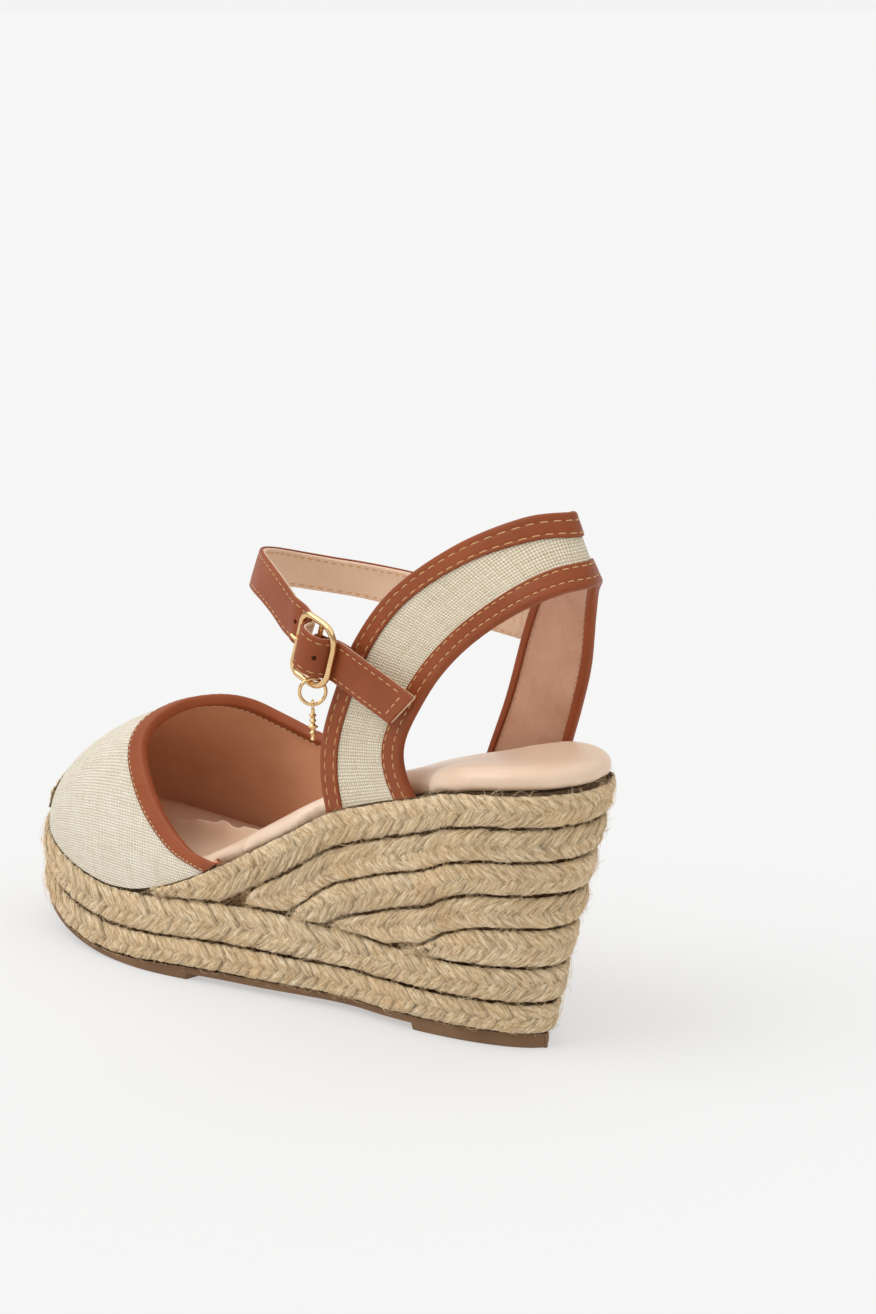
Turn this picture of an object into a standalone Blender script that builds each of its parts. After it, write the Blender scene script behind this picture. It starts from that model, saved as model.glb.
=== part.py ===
"""Wedge espadrille sandal, left foot, about EU 39.

All shapes are worked out in shoe coordinates in millimetres: x to the outer side of the foot, u forwards
from the back of the heel base, z up from the ground. place() turns them into metres with the toe towards -Y,
the outer side towards +X and the origin under the middle of the shoe.
"""
import math

import bmesh
import bpy
import numpy as np
from mathutils import Vector

# ---- driving dimensions, mm ---------------------------------------------------------------------------
BASE_LENGTH = 242.5        # heel base to toe tip, at the ground
HEEL_OVERHANG = 19.2       # how far the top of the wedge leans out behind its base
HEEL_HEIGHT = 90.4         # top of the braid at the back
PLATFORM_HEIGHT = 27.3     # top of the braid under the toes, with the outsole
PLATFORM_SPLIT = 16.2      # height of the seam between the two platform braids
TOE_SPRING = 15.4          # lift of the toe tip
TOE_SPRING_START = 163.0
OUTSOLE_THICKNESS = 5.0
TOE_SEAM_DROP = 3.0        # the outsole thins and the braid seam sinks this much towards the toe
WEDGE_ROWS = 5
GAP = 0.3                  # clearance between touching pieces
SEAT = 0.55                # clearance under the pieces that stand on the sloping top of the braid

HEEL_HALF_WIDTH = {"base": 22.6, "top": 32.4}
HEEL_ROUNDING = {"base": 63.8, "top": 41.3}
HEEL_EXPONENT = {"base": 1.76, "top": 2.13}
WAIST_HALF_WIDTH = {"base": 34.4, "top": 35.9}
BALL_HALF_WIDTH = {1: 44.7, -1: 42.7}
BALL_AT = 162.3
TOE_ROUNDING = 80.8
TOE_EXPONENT = 2.3
TOE_SWING = 2.0

BRAID_THICKNESS = 4.6
BRAID_BULGE = 1.2
BRAID_STEP = 0.072         # angle between a braid's sections, shared so that the rows nest
HEEL_PAD_END = 43.3        # the outsole's heel pad ends here ...
TREAD_START = 136.7        # ... and its forepart tread starts here
ARCH_RISE = 2.2

# height of the braid's top edge along the shoe, before the toe spring
WEDGE_PROFILE = [(-20.0, 90.6), (0.0, 90.2), (14.0, 88.9), (29.0, 84.6), (50.0, 78.6), (70.0, 71.7),
                 (90.0, 60.8), (116.0, 46.6), (134.0, 37.4), (148.0, 32.0), (162.0, 28.6), (178.0, 27.3),
                 (246.0, 27.3)]
# height of the seam above the two platform braids
PLATFORM_PROFILE = [(0.0, 29.4), (30.0, 28.6), (60.0, 29.6), (85.0, 30.6), (108.0, 32.0), (128.0, 31.0),
                    (146.0, 29.4), (165.0, 28.0), (180.0, 27.3), (246.0, 27.3)]

# the heel band: upper and lower edge, from the outer foot round the heel to the inner foot
BAND_UPPER = [(31.0, 70.5, 70.0), (32.2, 72.2, 84.0), (32.4, 70.8, 98.0), (31.6, 65.3, 114.0),
              (30.2, 57.0, 132.0), (27.6, 42.0, 150.0), (22.8, 18.5, 166.3), (13.0, -1.0, 175.8),
              (0.0, -8.8, 177.0), (-11.5, 2.0, 174.0), (-19.5, 11.0, 165.5), (-25.0, 24.5, 151.5),
              (-27.8, 35.5, 132.0), (-29.0, 45.0, 107.0), (-29.4, 53.0, 89.0), (-29.2, 59.0, 74.5)]
BAND_LOWER = [(31.0, 31.0, 82.5), (32.0, 35.3, 91.5), (32.2, 35.6, 101.0), (31.7, 29.5, 113.0),
              (30.4, 19.5, 127.0), (27.8, 6.0, 140.0), (22.0, -9.0, 151.0), (12.0, -16.6, 155.8),
              (0.0, -18.2, 156.4), (-12.5, -9.8, 154.8), (-21.0, -0.5, 149.0), (-26.3, 5.6, 139.0),
              (-28.4, 9.3, 122.0), (-29.3, 14.3, 106.5), (-29.7, 18.8, 94.0), (-29.6, 21.0, 84.5)]
# the opening of the vamp, from its outer foot over the instep to its inner foot
THROAT = [(39.3, 120.5, 45.0), (38.0, 138.0, 47.5), (34.5, 156.0, 56.0), (30.0, 169.5, 67.0),
          (24.0, 178.0, 75.5), (15.0, 181.5, 82.0), (4.0, 178.0, 87.0), (-7.0, 171.5, 88.4),
          (-17.0, 165.5, 86.0), (-24.5, 155.5, 80.6), (-29.5, 140.5, 75.2), (-33.0, 117.0, 71.5),
          (-34.6, 93.0, 61.5)]
VAMP_INSET = 1.6           # vamp's outer face in from the edge of the platform
CANVAS_THICKNESS = 1.0
LINING_THICKNESS = 0.8
BINDING_THICKNESS = 0.8
BINDING_WIDTH = 7.2
WALL_STEPS = 40            # sections along each wall of the upper, shared so that the layers nest

CUSHION_HEEL = 6.9         # height of the footbed above the braid, heel and forepart
CUSHION_TOE = 4.5
COVER_THICKNESS = 1.0

BUCKLE_CENTRE = np.array([38.8, 68.6, 127.3])
STRAP_SLOPE = math.radians(18.4)
ALONG = np.array([0.0, -math.cos(STRAP_SLOPE), -math.sin(STRAP_SLOPE)])
ACROSS = np.array([0.0, -math.sin(STRAP_SLOPE), math.cos(STRAP_SLOPE)])
OUT = np.array([1.0, 0.0, 0.0])
STRAP_WIDTH = 14.0
FRAME_HALF_LENGTH = 8.2
FRAME_HALF_HEIGHT = 10.8
FRAME_CORNER = {"front": 3.4, "back": 6.8}  # corner radii of the frame, toe side and heel side
FRAME_WIRE = 1.1
TAB_HALF_WIDTH = 5.6
BAR_RADIUS = 0.9
BAR_LEVEL = -0.8
PRONG_RADIUS = 0.75
TAIL_LENGTH = 41.7
TAIL_SLANT = 8.0                     # the upper edge of the tail is this much longer than the lower
HOLE_PLACES = (-13.6, 3.1)           # plain holes in front of the buckle and in its frame
RING_RADIUS = 4.3
RING_WIRE = 0.6
CHARM_WIRE = 0.5
CHARM_LENGTH = 12.0        # between the wire's middle lines
CHARM_WIDTH = 4.4

COLOURS = {
    "jute": ((0.56, 0.43, 0.26), 0.9, 0.0),
    "outsole_rubber": ((0.22, 0.12, 0.07), 0.6, 0.0),
    "wedge_filler": ((0.50, 0.36, 0.22), 0.9, 0.0),
    "board": ((0.42, 0.33, 0.24), 0.9, 0.0),
    "footbed_leather": ((0.85, 0.62, 0.50), 0.55, 0.0),
    "footbed_foam": ((0.80, 0.76, 0.68), 0.95, 0.0),
    "canvas": ((0.80, 0.75, 0.60), 0.9, 0.0),
    "tan_leather": ((0.35, 0.12, 0.05), 0.5, 0.0),
    "brown_lining": ((0.36, 0.18, 0.10), 0.7, 0.0),
    "pink_lining": ((0.55, 0.34, 0.26), 0.9, 0.0),
    "strap_lining": ((0.70, 0.48, 0.33), 0.7, 0.0),
    "stiffener": ((0.60, 0.56, 0.50), 0.9, 0.0),
    "gold": ((0.85, 0.62, 0.32), 0.2, 1.0),
}

U_MIDDLE = (BASE_LENGTH - HEEL_OVERHANG) / 2
X_MIDDLE = (BALL_HALF_WIDTH[1] - BALL_HALF_WIDTH[-1]) / 2


# ---- small helpers ------------------------------------------------------------------------------------
def place(point):
    """Shoe coordinates in mm to the model's metres."""
    return Vector(((point[0] - X_MIDDLE) * 0.001, (U_MIDDLE - point[1]) * 0.001, point[2] * 0.001))


def unit(vector):
    vector = np.asarray(vector, float)
    return vector / np.linalg.norm(vector)


def smooth(low, high, value):
    """0 below low, 1 above high, an S-curve between them."""
    t = np.clip((value - low) / (high - low), 0.0, 1.0)
    return t * t * (3 - 2 * t)


def spline(points, t):
    """Point at t, from 0 to 1, on a Catmull-Rom curve through the points."""
    points = np.asarray(points, float)
    last = len(points) - 1
    place_on = min(max(t, 0.0), 1.0) * last
    i = min(int(place_on), last - 1)
    f = place_on - i
    before = points[i - 1] if i > 0 else 2 * points[0] - points[1]
    after = points[i + 2] if i + 2 <= last else 2 * points[last] - points[last - 1]
    p1, p2 = points[i], points[i + 1]
    return 0.5 * (2 * p1 + (p2 - before) * f + (2 * before - 5 * p1 + 4 * p2 - after) * f * f
                  + (3 * p1 - before - 3 * p2 + after) * f ** 3)


def hermite(knots, value):
    """Height at a value on a smooth curve through (value, height) knots that doesn't overshoot."""
    xs = np.array([k[0] for k in knots], float)
    ys = np.array([k[1] for k in knots], float)
    steps = np.diff(ys) / np.diff(xs)
    slopes = np.concatenate([[steps[0]], np.zeros(len(steps) - 1), [steps[-1]]])
    for k in range(1, len(steps)):
        if steps[k - 1] * steps[k] > 0:
            slopes[k] = 2 * steps[k - 1] * steps[k] / (steps[k - 1] + steps[k])
    i = int(np.clip(np.searchsorted(xs, value) - 1, 0, len(steps) - 1))
    h = xs[i + 1] - xs[i]
    t = (value - xs[i]) / h
    return ((1 + 2 * t) * (1 - t) ** 2 * ys[i] + t * (1 - t) ** 2 * h * slopes[i]
            + t * t * (3 - 2 * t) * ys[i + 1] + t * t * (t - 1) * h * slopes[i + 1])


def material(name):
    """The shader called name, made once."""
    if name not in bpy.data.materials:
        colour, roughness, metallic = COLOURS[name]
        new = bpy.data.materials.new(name)
        new.use_nodes = True
        shader = new.node_tree.nodes["Principled BSDF"]
        shader.inputs["Base Color"].default_value = (*colour, 1.0)
        shader.inputs["Roughness"].default_value = roughness
        shader.inputs["Metallic"].default_value = metallic
    return bpy.data.materials[name]


def make(name, points, faces, material_name, origin=None):
    """A closed mesh object from points in shoe coordinates, with its origin at a point of the shoe."""
    centre = place(origin) if origin is not None else Vector((0.0, 0.0, 0.0))
    mesh = bpy.data.meshes.new(name)
    mesh.from_pydata([place(p) - centre for p in points], [], faces)
    body = bmesh.new()
    body.from_mesh(mesh)
    bmesh.ops.remove_doubles(body, verts=body.verts, dist=1e-6)
    bmesh.ops.dissolve_degenerate(body, edges=body.edges, dist=1e-6)
    bmesh.ops.recalc_face_normals(body, faces=body.faces)
    body.to_mesh(mesh)
    body.free()
    mesh.shade_smooth()
    mesh.set_sharp_from_angle(angle=math.radians(40))
    mesh.materials.append(material(material_name))
    shape = bpy.data.objects.new(name, mesh)
    shape.location = centre
    bpy.context.scene.collection.objects.link(shape)
    return shape


def loft(sections, closed):
    """Points and faces of a solid through equal sections, each a ring of points."""
    count, size = len(sections), len(sections[0])
    points = [p for section in sections for p in section]
    faces = []
    for i in range(count if closed else count - 1):
        j = (i + 1) % count
        for k in range(size):
            m = (k + 1) % size
            faces.append((i * size + k, i * size + m, j * size + m, j * size + k))
    if not closed:
        faces.append(tuple(range(size)))
        faces.append(tuple((count - 1) * size + k for k in reversed(range(size))))
    return points, faces


def subtract(shape, cutter):
    """Cut one object out of another and delete the cutter."""
    bpy.context.view_layer.update()
    cut = shape.modifiers.new("cut", "BOOLEAN")
    cut.operation = "DIFFERENCE"
    cut.solver = "EXACT"
    cut.object = cutter
    apply_and_drop(shape, cutter)


def unite(shape, other):
    """Join another object to this one as a single body."""
    bpy.context.view_layer.update()
    join = shape.modifiers.new("join", "BOOLEAN")
    join.operation = "UNION"
    join.solver = "EXACT"
    join.object = other
    apply_and_drop(shape, other)


def apply_and_drop(shape, other):
    graph = bpy.context.evaluated_depsgraph_get()
    result = bpy.data.meshes.new_from_object(shape.evaluated_get(graph))
    shape.modifiers.clear()
    shape.data = result
    bpy.data.objects.remove(other)


# ---- the bottom unit's outline ------------------------------------------------------------------------
def half_width(u, level, side):
    """Distance from the middle line to the edge at u, for the base or the top of the wedge."""
    start = -HEEL_OVERHANG if level == "top" else 0.0
    rounding = HEEL_ROUNDING[level]
    heel = HEEL_HALF_WIDTH[level]
    ball = BALL_HALF_WIDTH[side]
    width = hermite([(start - 1, heel), (start + rounding, heel),
                     ((rounding + start + BALL_AT) / 2, WAIST_HALF_WIDTH[level]),
                     (BALL_AT, ball), (BASE_LENGTH + 1, ball * 0.98)], u)
    back = np.clip((start + rounding - u) / rounding, 0.0, 1.0)
    front = np.clip((u - BASE_LENGTH + TOE_ROUNDING) / TOE_ROUNDING, 0.0, 1.0)
    exponent = HEEL_EXPONENT[level]
    return (width * (1 - back ** exponent) ** (1 / exponent)
            * (1 - front ** TOE_EXPONENT) ** (1 / TOE_EXPONENT))


def middle(u):
    """The middle line swings slightly at the toes."""
    return TOE_SWING * np.clip((u - 106.0) / 116.0, 0.0, 1.0) ** 2


def sole_level(u):
    """Height of the ground side of the sole: flat, then the toe spring."""
    lift = np.clip((u - TOE_SPRING_START) / (BASE_LENGTH - TOE_SPRING_START), 0.0, 1.0)
    return TOE_SPRING * lift ** 2


def braid_top(u):
    return hermite(WEDGE_PROFILE, u) + sole_level(u)


def edge(angle, level):
    """Point (x, u) on the outline: angle 0 at the back, pi at the toe, negative on the inner side."""
    start = -HEEL_OVERHANG if level == "top" else 0.0
    side = 1 if angle >= 0 else -1
    u = start + (BASE_LENGTH - start) * (1 - math.cos(angle)) / 2
    return np.array([middle(u) + side * half_width(u, level, side), u])


def edge_normal(angle, level):
    step = 0.02
    ahead, behind = edge(angle + step, level), edge(angle - step, level)
    if angle + step > math.pi:
        ahead = edge(angle + step - 2 * math.pi, level)
    if angle - step < -math.pi:
        behind = edge(angle - step + 2 * math.pi, level)
    along = ahead - behind
    return unit(np.array([along[1], -along[0]]))


def angle_at(u, side, level):
    """The angle whose outline point lies at u."""
    start = -HEEL_OVERHANG if level == "top" else 0.0
    return side * math.acos(1 - 2 * (u - start) / (BASE_LENGTH - start))


def side_point(angle, z, inset):
    """Point on the wedge's side at a height, moved in from the face by inset."""
    base, top = edge(angle, "base"), edge(angle, "top")
    low, high = sole_level(base[1]), braid_top(top[1])
    f = (z - low) / (high - low)
    at = base + (top - base) * f
    normal = unit(edge_normal(angle, "base") * (1 - f) + edge_normal(angle, "top") * f)
    at = at - normal * inset
    return np.array([at[0], at[1], z])


# ---- braids, outsole, core ----------------------------------------------------------------------------
def braid(name, angles, low, high, closed):
    """One turn of jute braid between two heights, given as functions of the angle."""
    sections = []
    for angle in angles:
        bottom, top = low(angle) + GAP / 2, high(angle) - GAP / 2
        ring = []
        for k in range(5):
            bulge = BRAID_BULGE * math.sin(math.pi * k / 4) ** 0.8 if 0 < k < 4 else 0.0
            ring.append(side_point(angle, bottom + (top - bottom) * k / 4, BRAID_BULGE - bulge))
        ring.append(side_point(angle, top, BRAID_THICKNESS))
        ring.append(side_point(angle, bottom, BRAID_THICKNESS))
        for point in ring[4:6]:
            point[2] = min(point[2], braid_top(point[1]) - GAP / 2)
        sections.append(ring)
    points, faces = loft(sections, closed)
    return make(name, points, faces, "jute")


def ground(angle):
    return sole_level(edge(angle, "base")[1])


def outsole_top(u):
    return sole_level(u) + OUTSOLE_THICKNESS - TOE_SEAM_DROP * smooth(125.0, 195.0, u)


def platform_seam(row):
    """Height function of the seam above this many platform rows."""
    def height(angle):
        u = edge(angle, "base")[1]
        if row == 0:
            return outsole_top(u)
        if row == 1:
            return sole_level(u) + PLATFORM_SPLIT - TOE_SEAM_DROP * smooth(115.0, 190.0, u)
        return min(hermite(PLATFORM_PROFILE, u) + sole_level(u), braid_top(edge(angle, "top")[1]))
    return height


def wedge_seam(row):
    """Height function of the seam below this many wedge rows, which stops at the platform."""
    pitch = (HEEL_HEIGHT - PLATFORM_HEIGHT) / WEDGE_ROWS

    def height(angle):
        u = edge(angle, "top")[1]
        slope = (braid_top(u + 1) - braid_top(u - 1)) / 2
        if row == WEDGE_ROWS:
            return platform_seam(2)(angle)
        tightness = 0.94 + 0.06 * smooth(-5.0, 25.0, u) + 0.07 * smooth(60.0, 110.0, u)
        seam = braid_top(u) - row * pitch * tightness * math.sqrt(1 + slope * slope)
        return max(seam, platform_seam(2)(angle))
    return height


def make_braids():
    around = [2 * math.pi * i / 56 - math.pi + 1e-6 for i in range(56)]
    for row, name in enumerate(["platform_braid_lower", "platform_braid_upper"]):
        braid(name, around, platform_seam(row), platform_seam(row + 1), True)
    for row in range(WEDGE_ROWS):
        high, low = wedge_seam(row), wedge_seam(row + 1)
        ends = []
        for side in (1, -1):
            steps = 5
            while high(side * BRAID_STEP * (steps + 1)) - low(side * BRAID_STEP * (steps + 1)) > 1.6:
                steps += 1
            ends.append(steps)
        angles = [BRAID_STEP * i for i in range(-ends[1], ends[0] + 1)]
        braid(f"wedge_braid_{row + 1}", angles, low, high, False)


def stations(first, last, count, extra=()):
    """Places along the shoe, closer together at both ends, with extra ones where the sole steps."""
    places = [first + (last - first) * (1 - math.cos(math.pi * i / count)) / 2 for i in range(1, count)]
    places = [u for u in places if all(abs(u - e) > 1.5 for e in extra)]
    return sorted(places + [e - 0.02 for e in extra] + [e + 0.02 for e in extra])


def make_outsole():
    sections = []
    for u in stations(0.0, BASE_LENGTH, 26, (HEEL_PAD_END, TREAD_START)):
        arch = HEEL_PAD_END < u < TREAD_START
        bottom = sole_level(u) + (ARCH_RISE if arch else 0.0)
        top = outsole_top(u) - GAP / 2
        ring = []
        for side, inset, z in ((1, 1.9, bottom), (1, 1.3, top), (-1, 1.3, top), (-1, 1.9, bottom)):
            width = max(half_width(u, "base", side) - inset, 1.5)
            ring.append((middle(u) + side * width, u, z))
        sections.append(ring)
    points, faces = loft(sections, False)
    make("outsole", points, faces, "outsole_rubber")


def layer(name, material_name, inset, bottom, top):
    """A filled layer inside the braid. bottom and top each name an outline and give the height at u."""
    sections = []
    count = 34
    for i in range(1, count):
        angle = math.pi * i / count
        ring = []
        for side in (1, -1):
            pair = []
            for level, height in (bottom, top):
                at = edge(side * angle, level) - edge_normal(side * angle, level) * inset
                pair.append((at[0], at[1], height(at[1])))
            ring += pair if side == 1 else pair[::-1]
        sections.append(ring)
    points, faces = loft(sections, False)
    make(name, points, faces, material_name)


def make_core_and_board():
    inside = BRAID_THICKNESS + 3 * GAP
    layer("wedge_core", "wedge_filler", inside,
          ("base", lambda u: outsole_top(u) + GAP), ("top", lambda u: braid_top(u) - 3.0))
    layer("insole_board", "board", inside,
          ("top", lambda u: braid_top(u) - 2.6), ("top", lambda u: braid_top(u) - 0.4))


# ---- footbed ------------------------------------------------------------------------------------------
def footbed_inset(u, side):
    """The footbed steps in beside the feet of the heel band and inside the vamp."""
    beside = 7.4 if side > 0 else 8.6
    band = (26.0, 76.0) if side > 0 else (14.0, 66.0)
    vamp = 116.0 if side > 0 else 90.0
    held = smooth(band[0] - 8, band[0], u) * (1 - smooth(band[1], band[1] + 6, u))
    covered = smooth(vamp - 7, vamp, u)
    return 2.4 + (beside - 2.4) * held + (6.2 - 2.4) * covered


def cushion_height(u):
    return CUSHION_TOE + (CUSHION_HEEL - CUSHION_TOE) * (1 - smooth(60.0, 170.0, u))


def footbed_rings(shrink):
    """Closed rings of the padded top, from its lower edge to the dished middle, shrink inside it."""
    steps = [(0.0, 0.0), (0.0, 0.5), (0.35, 0.84), (1.1, 1.0), (3.0, 0.97)]
    rings = []
    for across, rise in steps:
        ring = []
        for i in range(48):
            angle = 2 * math.pi * i / 48 - math.pi + 1e-6
            at = edge(angle, "top")
            side = 1 if angle >= 0 else -1
            height = cushion_height(at[1]) - shrink
            inset = footbed_inset(at[1], side) + shrink + across * height * 0.6
            at = at - edge_normal(angle, "top") * inset
            floor = braid_top(np.clip(at[1], -HEEL_OVERHANG, BASE_LENGTH)) + SEAT
            ring.append(np.array([at[0], at[1], floor + rise * height]))
        rings.append(ring)
    return rings


def cap_faces(first, size):
    """Faces that fill a ring across the shoe, joining each outer point to its mirror on the inner side."""
    faces = []
    for k in range(1, size // 2):
        mirror, mirror_next = (size - k) % size, (size - k - 1) % size
        faces.append((first + k, first + k + 1, first + mirror_next, first + mirror)
                     if k + 1 != mirror_next else (first + k, first + k + 1, first + mirror))
    faces.append((first, first + 1, first + size - 1))
    return faces


def side_faces(first, second, size):
    return [(first + k, first + (k + 1) % size, second + (k + 1) % size, second + k) for k in range(size)]


def make_footbed():
    outer, inner = footbed_rings(0.0), footbed_rings(COVER_THICKNESS)
    size = len(outer[0])
    points = [p for ring in outer + inner for p in ring]
    faces = []
    for block in (0, len(outer)):
        for r in range(len(outer) - 1):
            faces += side_faces((block + r) * size, (block + r + 1) * size, size)
        faces += cap_faces((block + len(outer) - 1) * size, size)
    faces += side_faces(0, len(outer) * size, size)
    make("insole_cover", points, faces, "footbed_leather")

    filling = footbed_rings(COVER_THICKNESS + GAP)
    points = [p for ring in filling for p in ring]
    faces = cap_faces(0, size) + cap_faces((len(filling) - 1) * size, size)
    for r in range(len(filling) - 1):
        faces += side_faces(r * size, (r + 1) * size, size)
    make("insole_foam", points, faces, "footbed_foam")


# ---- walls of the upper -------------------------------------------------------------------------------
def band_surface(t, v):
    """Heel band: t from the outer foot to the inner foot, v from the lower to the upper edge."""
    low, high = spline(BAND_LOWER, t), spline(BAND_UPPER, t)
    span = high - low
    return low + span * v


def vamp_base(t):
    """Foot of the vamp on the platform, from the outer end round the toe to the inner end."""
    first, last = angle_at(123.0, 1, "top"), 2 * math.pi - angle_at(93.5, 1, "top")
    angle = first + (last - first) * t
    if angle > math.pi:
        angle -= 2 * math.pi
    at = edge(angle, "top") - edge_normal(angle, "top") * VAMP_INSET
    return np.array([at[0], at[1], braid_top(min(at[1], BASE_LENGTH)) + SEAT])


def vamp_surface(t, v):
    """Vamp: t along the platform's edge, v from the platform (0) to the opening (1)."""
    foot, rim = vamp_base(t), spline(THROAT, t)
    lean = rim - foot
    first = foot + np.array([0.02 * lean[0], 0.02 * lean[1], 0.43 * lean[2]])
    second = rim + np.array([-0.45 * lean[0], -0.45 * lean[1], -0.15 * lean[2]])
    w = min(v, 1.0)
    at = (foot * (1 - w) ** 3 + first * 3 * w * (1 - w) ** 2 + second * 3 * w * w * (1 - w) + rim * w ** 3)
    if v > 1.0:
        at = at + (rim - second) / max(np.linalg.norm(rim - second), 1e-6) * (v - 1.0) * np.linalg.norm(lean)
    return at


def surface_normal(surface, t, v):
    """Outward unit normal of a wall of the upper."""
    step = 0.004
    v = min(max(v, 0.02), 0.98)
    along = surface(min(t + step, 1.0), v) - surface(max(t - step, 0.0), v)
    up = surface(t, v + 0.02) - surface(t, v - 0.02)
    towards = -1.0 if surface is vamp_surface else 1.0
    return unit(np.cross(up, along)) * towards


def wall(name, material_name, surface, section, first, last, count, origin=None, floor=True):
    """Sweep a section, a function of t giving (v, offset) pairs, along a wall of the upper."""
    sections = []
    for i in range(count):
        t = first + (last - first) * i / (count - 1)
        ring = []
        for v, offset in section(t):
            at = surface(t, v) + surface_normal(surface, t, v) * offset
            if floor:
                at[2] = max(at[2], braid_top(min(at[1], BASE_LENGTH)) + SEAT)
            ring.append(at)
        sections.append(ring)
    points, faces = loft(sections, False)
    return make(name, points, faces, material_name, origin)


def sheet_section(levels, outer, inner):
    """A sheet's section through the given v levels, between two offsets."""
    def section(t):
        return ([(v, outer(v) if callable(outer) else outer) for v in levels]
                + [(v, inner(v) if callable(inner) else inner) for v in reversed(levels)])
    return section


def binding_section(surface, at_top, outside, inside, outer_reach, inner_reach):
    """A folded strip round an edge: a lip on each face, with the edge's sheets between them."""
    thick = BINDING_THICKNESS

    def section(t):
        width = np.linalg.norm(surface(t, 1.0) - surface(t, 0.0))
        out_reach = min(outer_reach, 0.45 * width)
        in_reach = min(inner_reach, 0.2 * width)
        profile = [(-out_reach, outside), (-out_reach, outside + thick),
                   (-out_reach / 2, outside + thick), (0.2, outside + thick),
                   (0.3 + thick, (outside + inside) / 2 + 0.7), (0.3 + thick, (outside + inside) / 2 - 0.7),
                   (0.2, inside - thick), (-in_reach, inside - thick), (-in_reach, inside),
                   (0.3, inside), (0.3, outside), (-out_reach / 2, outside)]
        if at_top:
            return [(1 + d / width, offset) for d, offset in profile]
        return [(-d / width, offset) for d, offset in profile]
    return section


def make_band():
    levels = [0.012, 0.33, 0.67, 0.988]
    wall("quarter_canvas", "canvas", band_surface,
         sheet_section(levels, 0.0, -CANVAS_THICKNESS), 0.0, 1.0, WALL_STEPS)
    lining_face = -CANVAS_THICKNESS - 2 * GAP
    wall("quarter_lining", "pink_lining", band_surface,
         sheet_section(levels, lining_face, lining_face - LINING_THICKNESS), 0.0, 1.0, WALL_STEPS)
    inside = lining_face - LINING_THICKNESS - GAP
    for name, at_top in (("quarter_binding_upper", True), ("quarter_binding_lower", False)):
        section = binding_section(band_surface, at_top, GAP, inside, BINDING_WIDTH, 3.0)
        wall(name, "tan_leather", band_surface, section, 0.0, 1.0, WALL_STEPS)


def lining_offset(v):
    """The vamp's lining leaves room for the stiffener low down and meets the canvas at the opening."""
    return -2.6 + 1.3 * smooth(0.5, 0.85, v)


def make_vamp():
    levels = [0.0, 0.14, 0.3, 0.5, 0.72, 0.985]
    wall("vamp_canvas", "canvas", vamp_surface,
         sheet_section(levels, 0.0, -CANVAS_THICKNESS), 0.0, 1.0, WALL_STEPS)
    wall("toe_puff", "stiffener", vamp_surface,
         sheet_section([0.14, 0.3, 0.5], -CANVAS_THICKNESS - GAP, -CANVAS_THICKNESS - GAP - 0.65),
         13 / 39, 26 / 39, 14)
    wall("vamp_lining", "brown_lining", vamp_surface,
         sheet_section(levels, lining_offset, lambda v: lining_offset(v) - LINING_THICKNESS),
         0.0, 1.0, WALL_STEPS)
    inside = lining_offset(1.0) - LINING_THICKNESS - GAP
    section = binding_section(vamp_surface, True, GAP, inside, BINDING_WIDTH, 3.0)
    wall("vamp_binding", "tan_leather", vamp_surface, section, 0.0, 1.0, WALL_STEPS)


def make_toe_bumper():
    """Braided patch over the toe tip: tallest in the middle, running out to points at its ends."""
    first, last = 14 / 39, 26 / 39

    def section(t):
        middle_part = max(math.sin(math.pi * (t - first) / (last - first)), 0.0)
        reach = 0.06 + 0.22 * middle_part ** 0.7
        levels = [0.0, reach * 0.35, reach * 0.7, reach]
        return ([(v, GAP + 1.6 + 0.5 * math.sin(math.pi * v / reach)) for v in levels]
                + [(v, GAP) for v in reversed(levels)])
    wall("toe_bumper", "jute", vamp_surface, section, first, last, 13)


# ---- ankle strap --------------------------------------------------------------------------------------
def buckle_point(along, across, out):
    return BUCKLE_CENTRE + ALONG * along + ACROSS * across + OUT * out


def strap_middle():
    """Middle line of the strap, from its sewn inner end round the ankle and through the buckle."""
    route = [(-31.9, 25.0, 130.5), (-32.0, 38.0, 131.0), (-31.8, 60.0, 132.5), (-30.6, 80.0, 133.8),
             (-28.6, 100.0, 135.0), (-24.4, 114.5, 136.4), (-16.5, 124.5, 138.2), (-6.0, 130.0, 140.7),
             (5.0, 129.6, 143.2), (14.6, 124.0, 144.8), (21.2, 115.4, 144.9), (25.8, 106.0, 143.4),
             (29.3, 96.8, 140.5)]
    through = [(-20.5, 3.0, -6.0), (-15.0, 3.6, -4.0), (-10.9, 3.3, -3.4), (-8.2, 2.7, -3.1),
               (-6.6, 2.3, -2.7), (-5.4, 1.9, -1.3), (-4.95, 1.6, 0.6), (-4.5, 1.3, 2.3),
               (-3.3, 1.0, 3.3), (-1.3, 0.7, 3.7), (1.1, 0.4, 3.5), (3.4, 0.2, 2.3), (4.7, 0.1, 0.1),
               (5.8, 0.0, -2.0), (8.2, 0.0, -2.95), (10.9, 0.0, -3.0), (16.0, 0.0, -2.9),
               (24.0, 0.0, -2.6), (32.0, 0.0, -2.4), (TAIL_LENGTH, 0.0, -1.9)]
    return route + [tuple(buckle_point(*place)) for place in through]


STRAP_MIDDLE = strap_middle()
PRONG_PATH = [buckle_point(*place) for place in ((-1.5, 0.0, -0.45), (-3.2, 0.35, 0.35), (-5.1, 0.75, 1.25),
                                                 (-7.0, 1.15, 1.95), (-8.3, 1.4, 2.15), (-9.8, 1.7, 2.05))]


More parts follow.
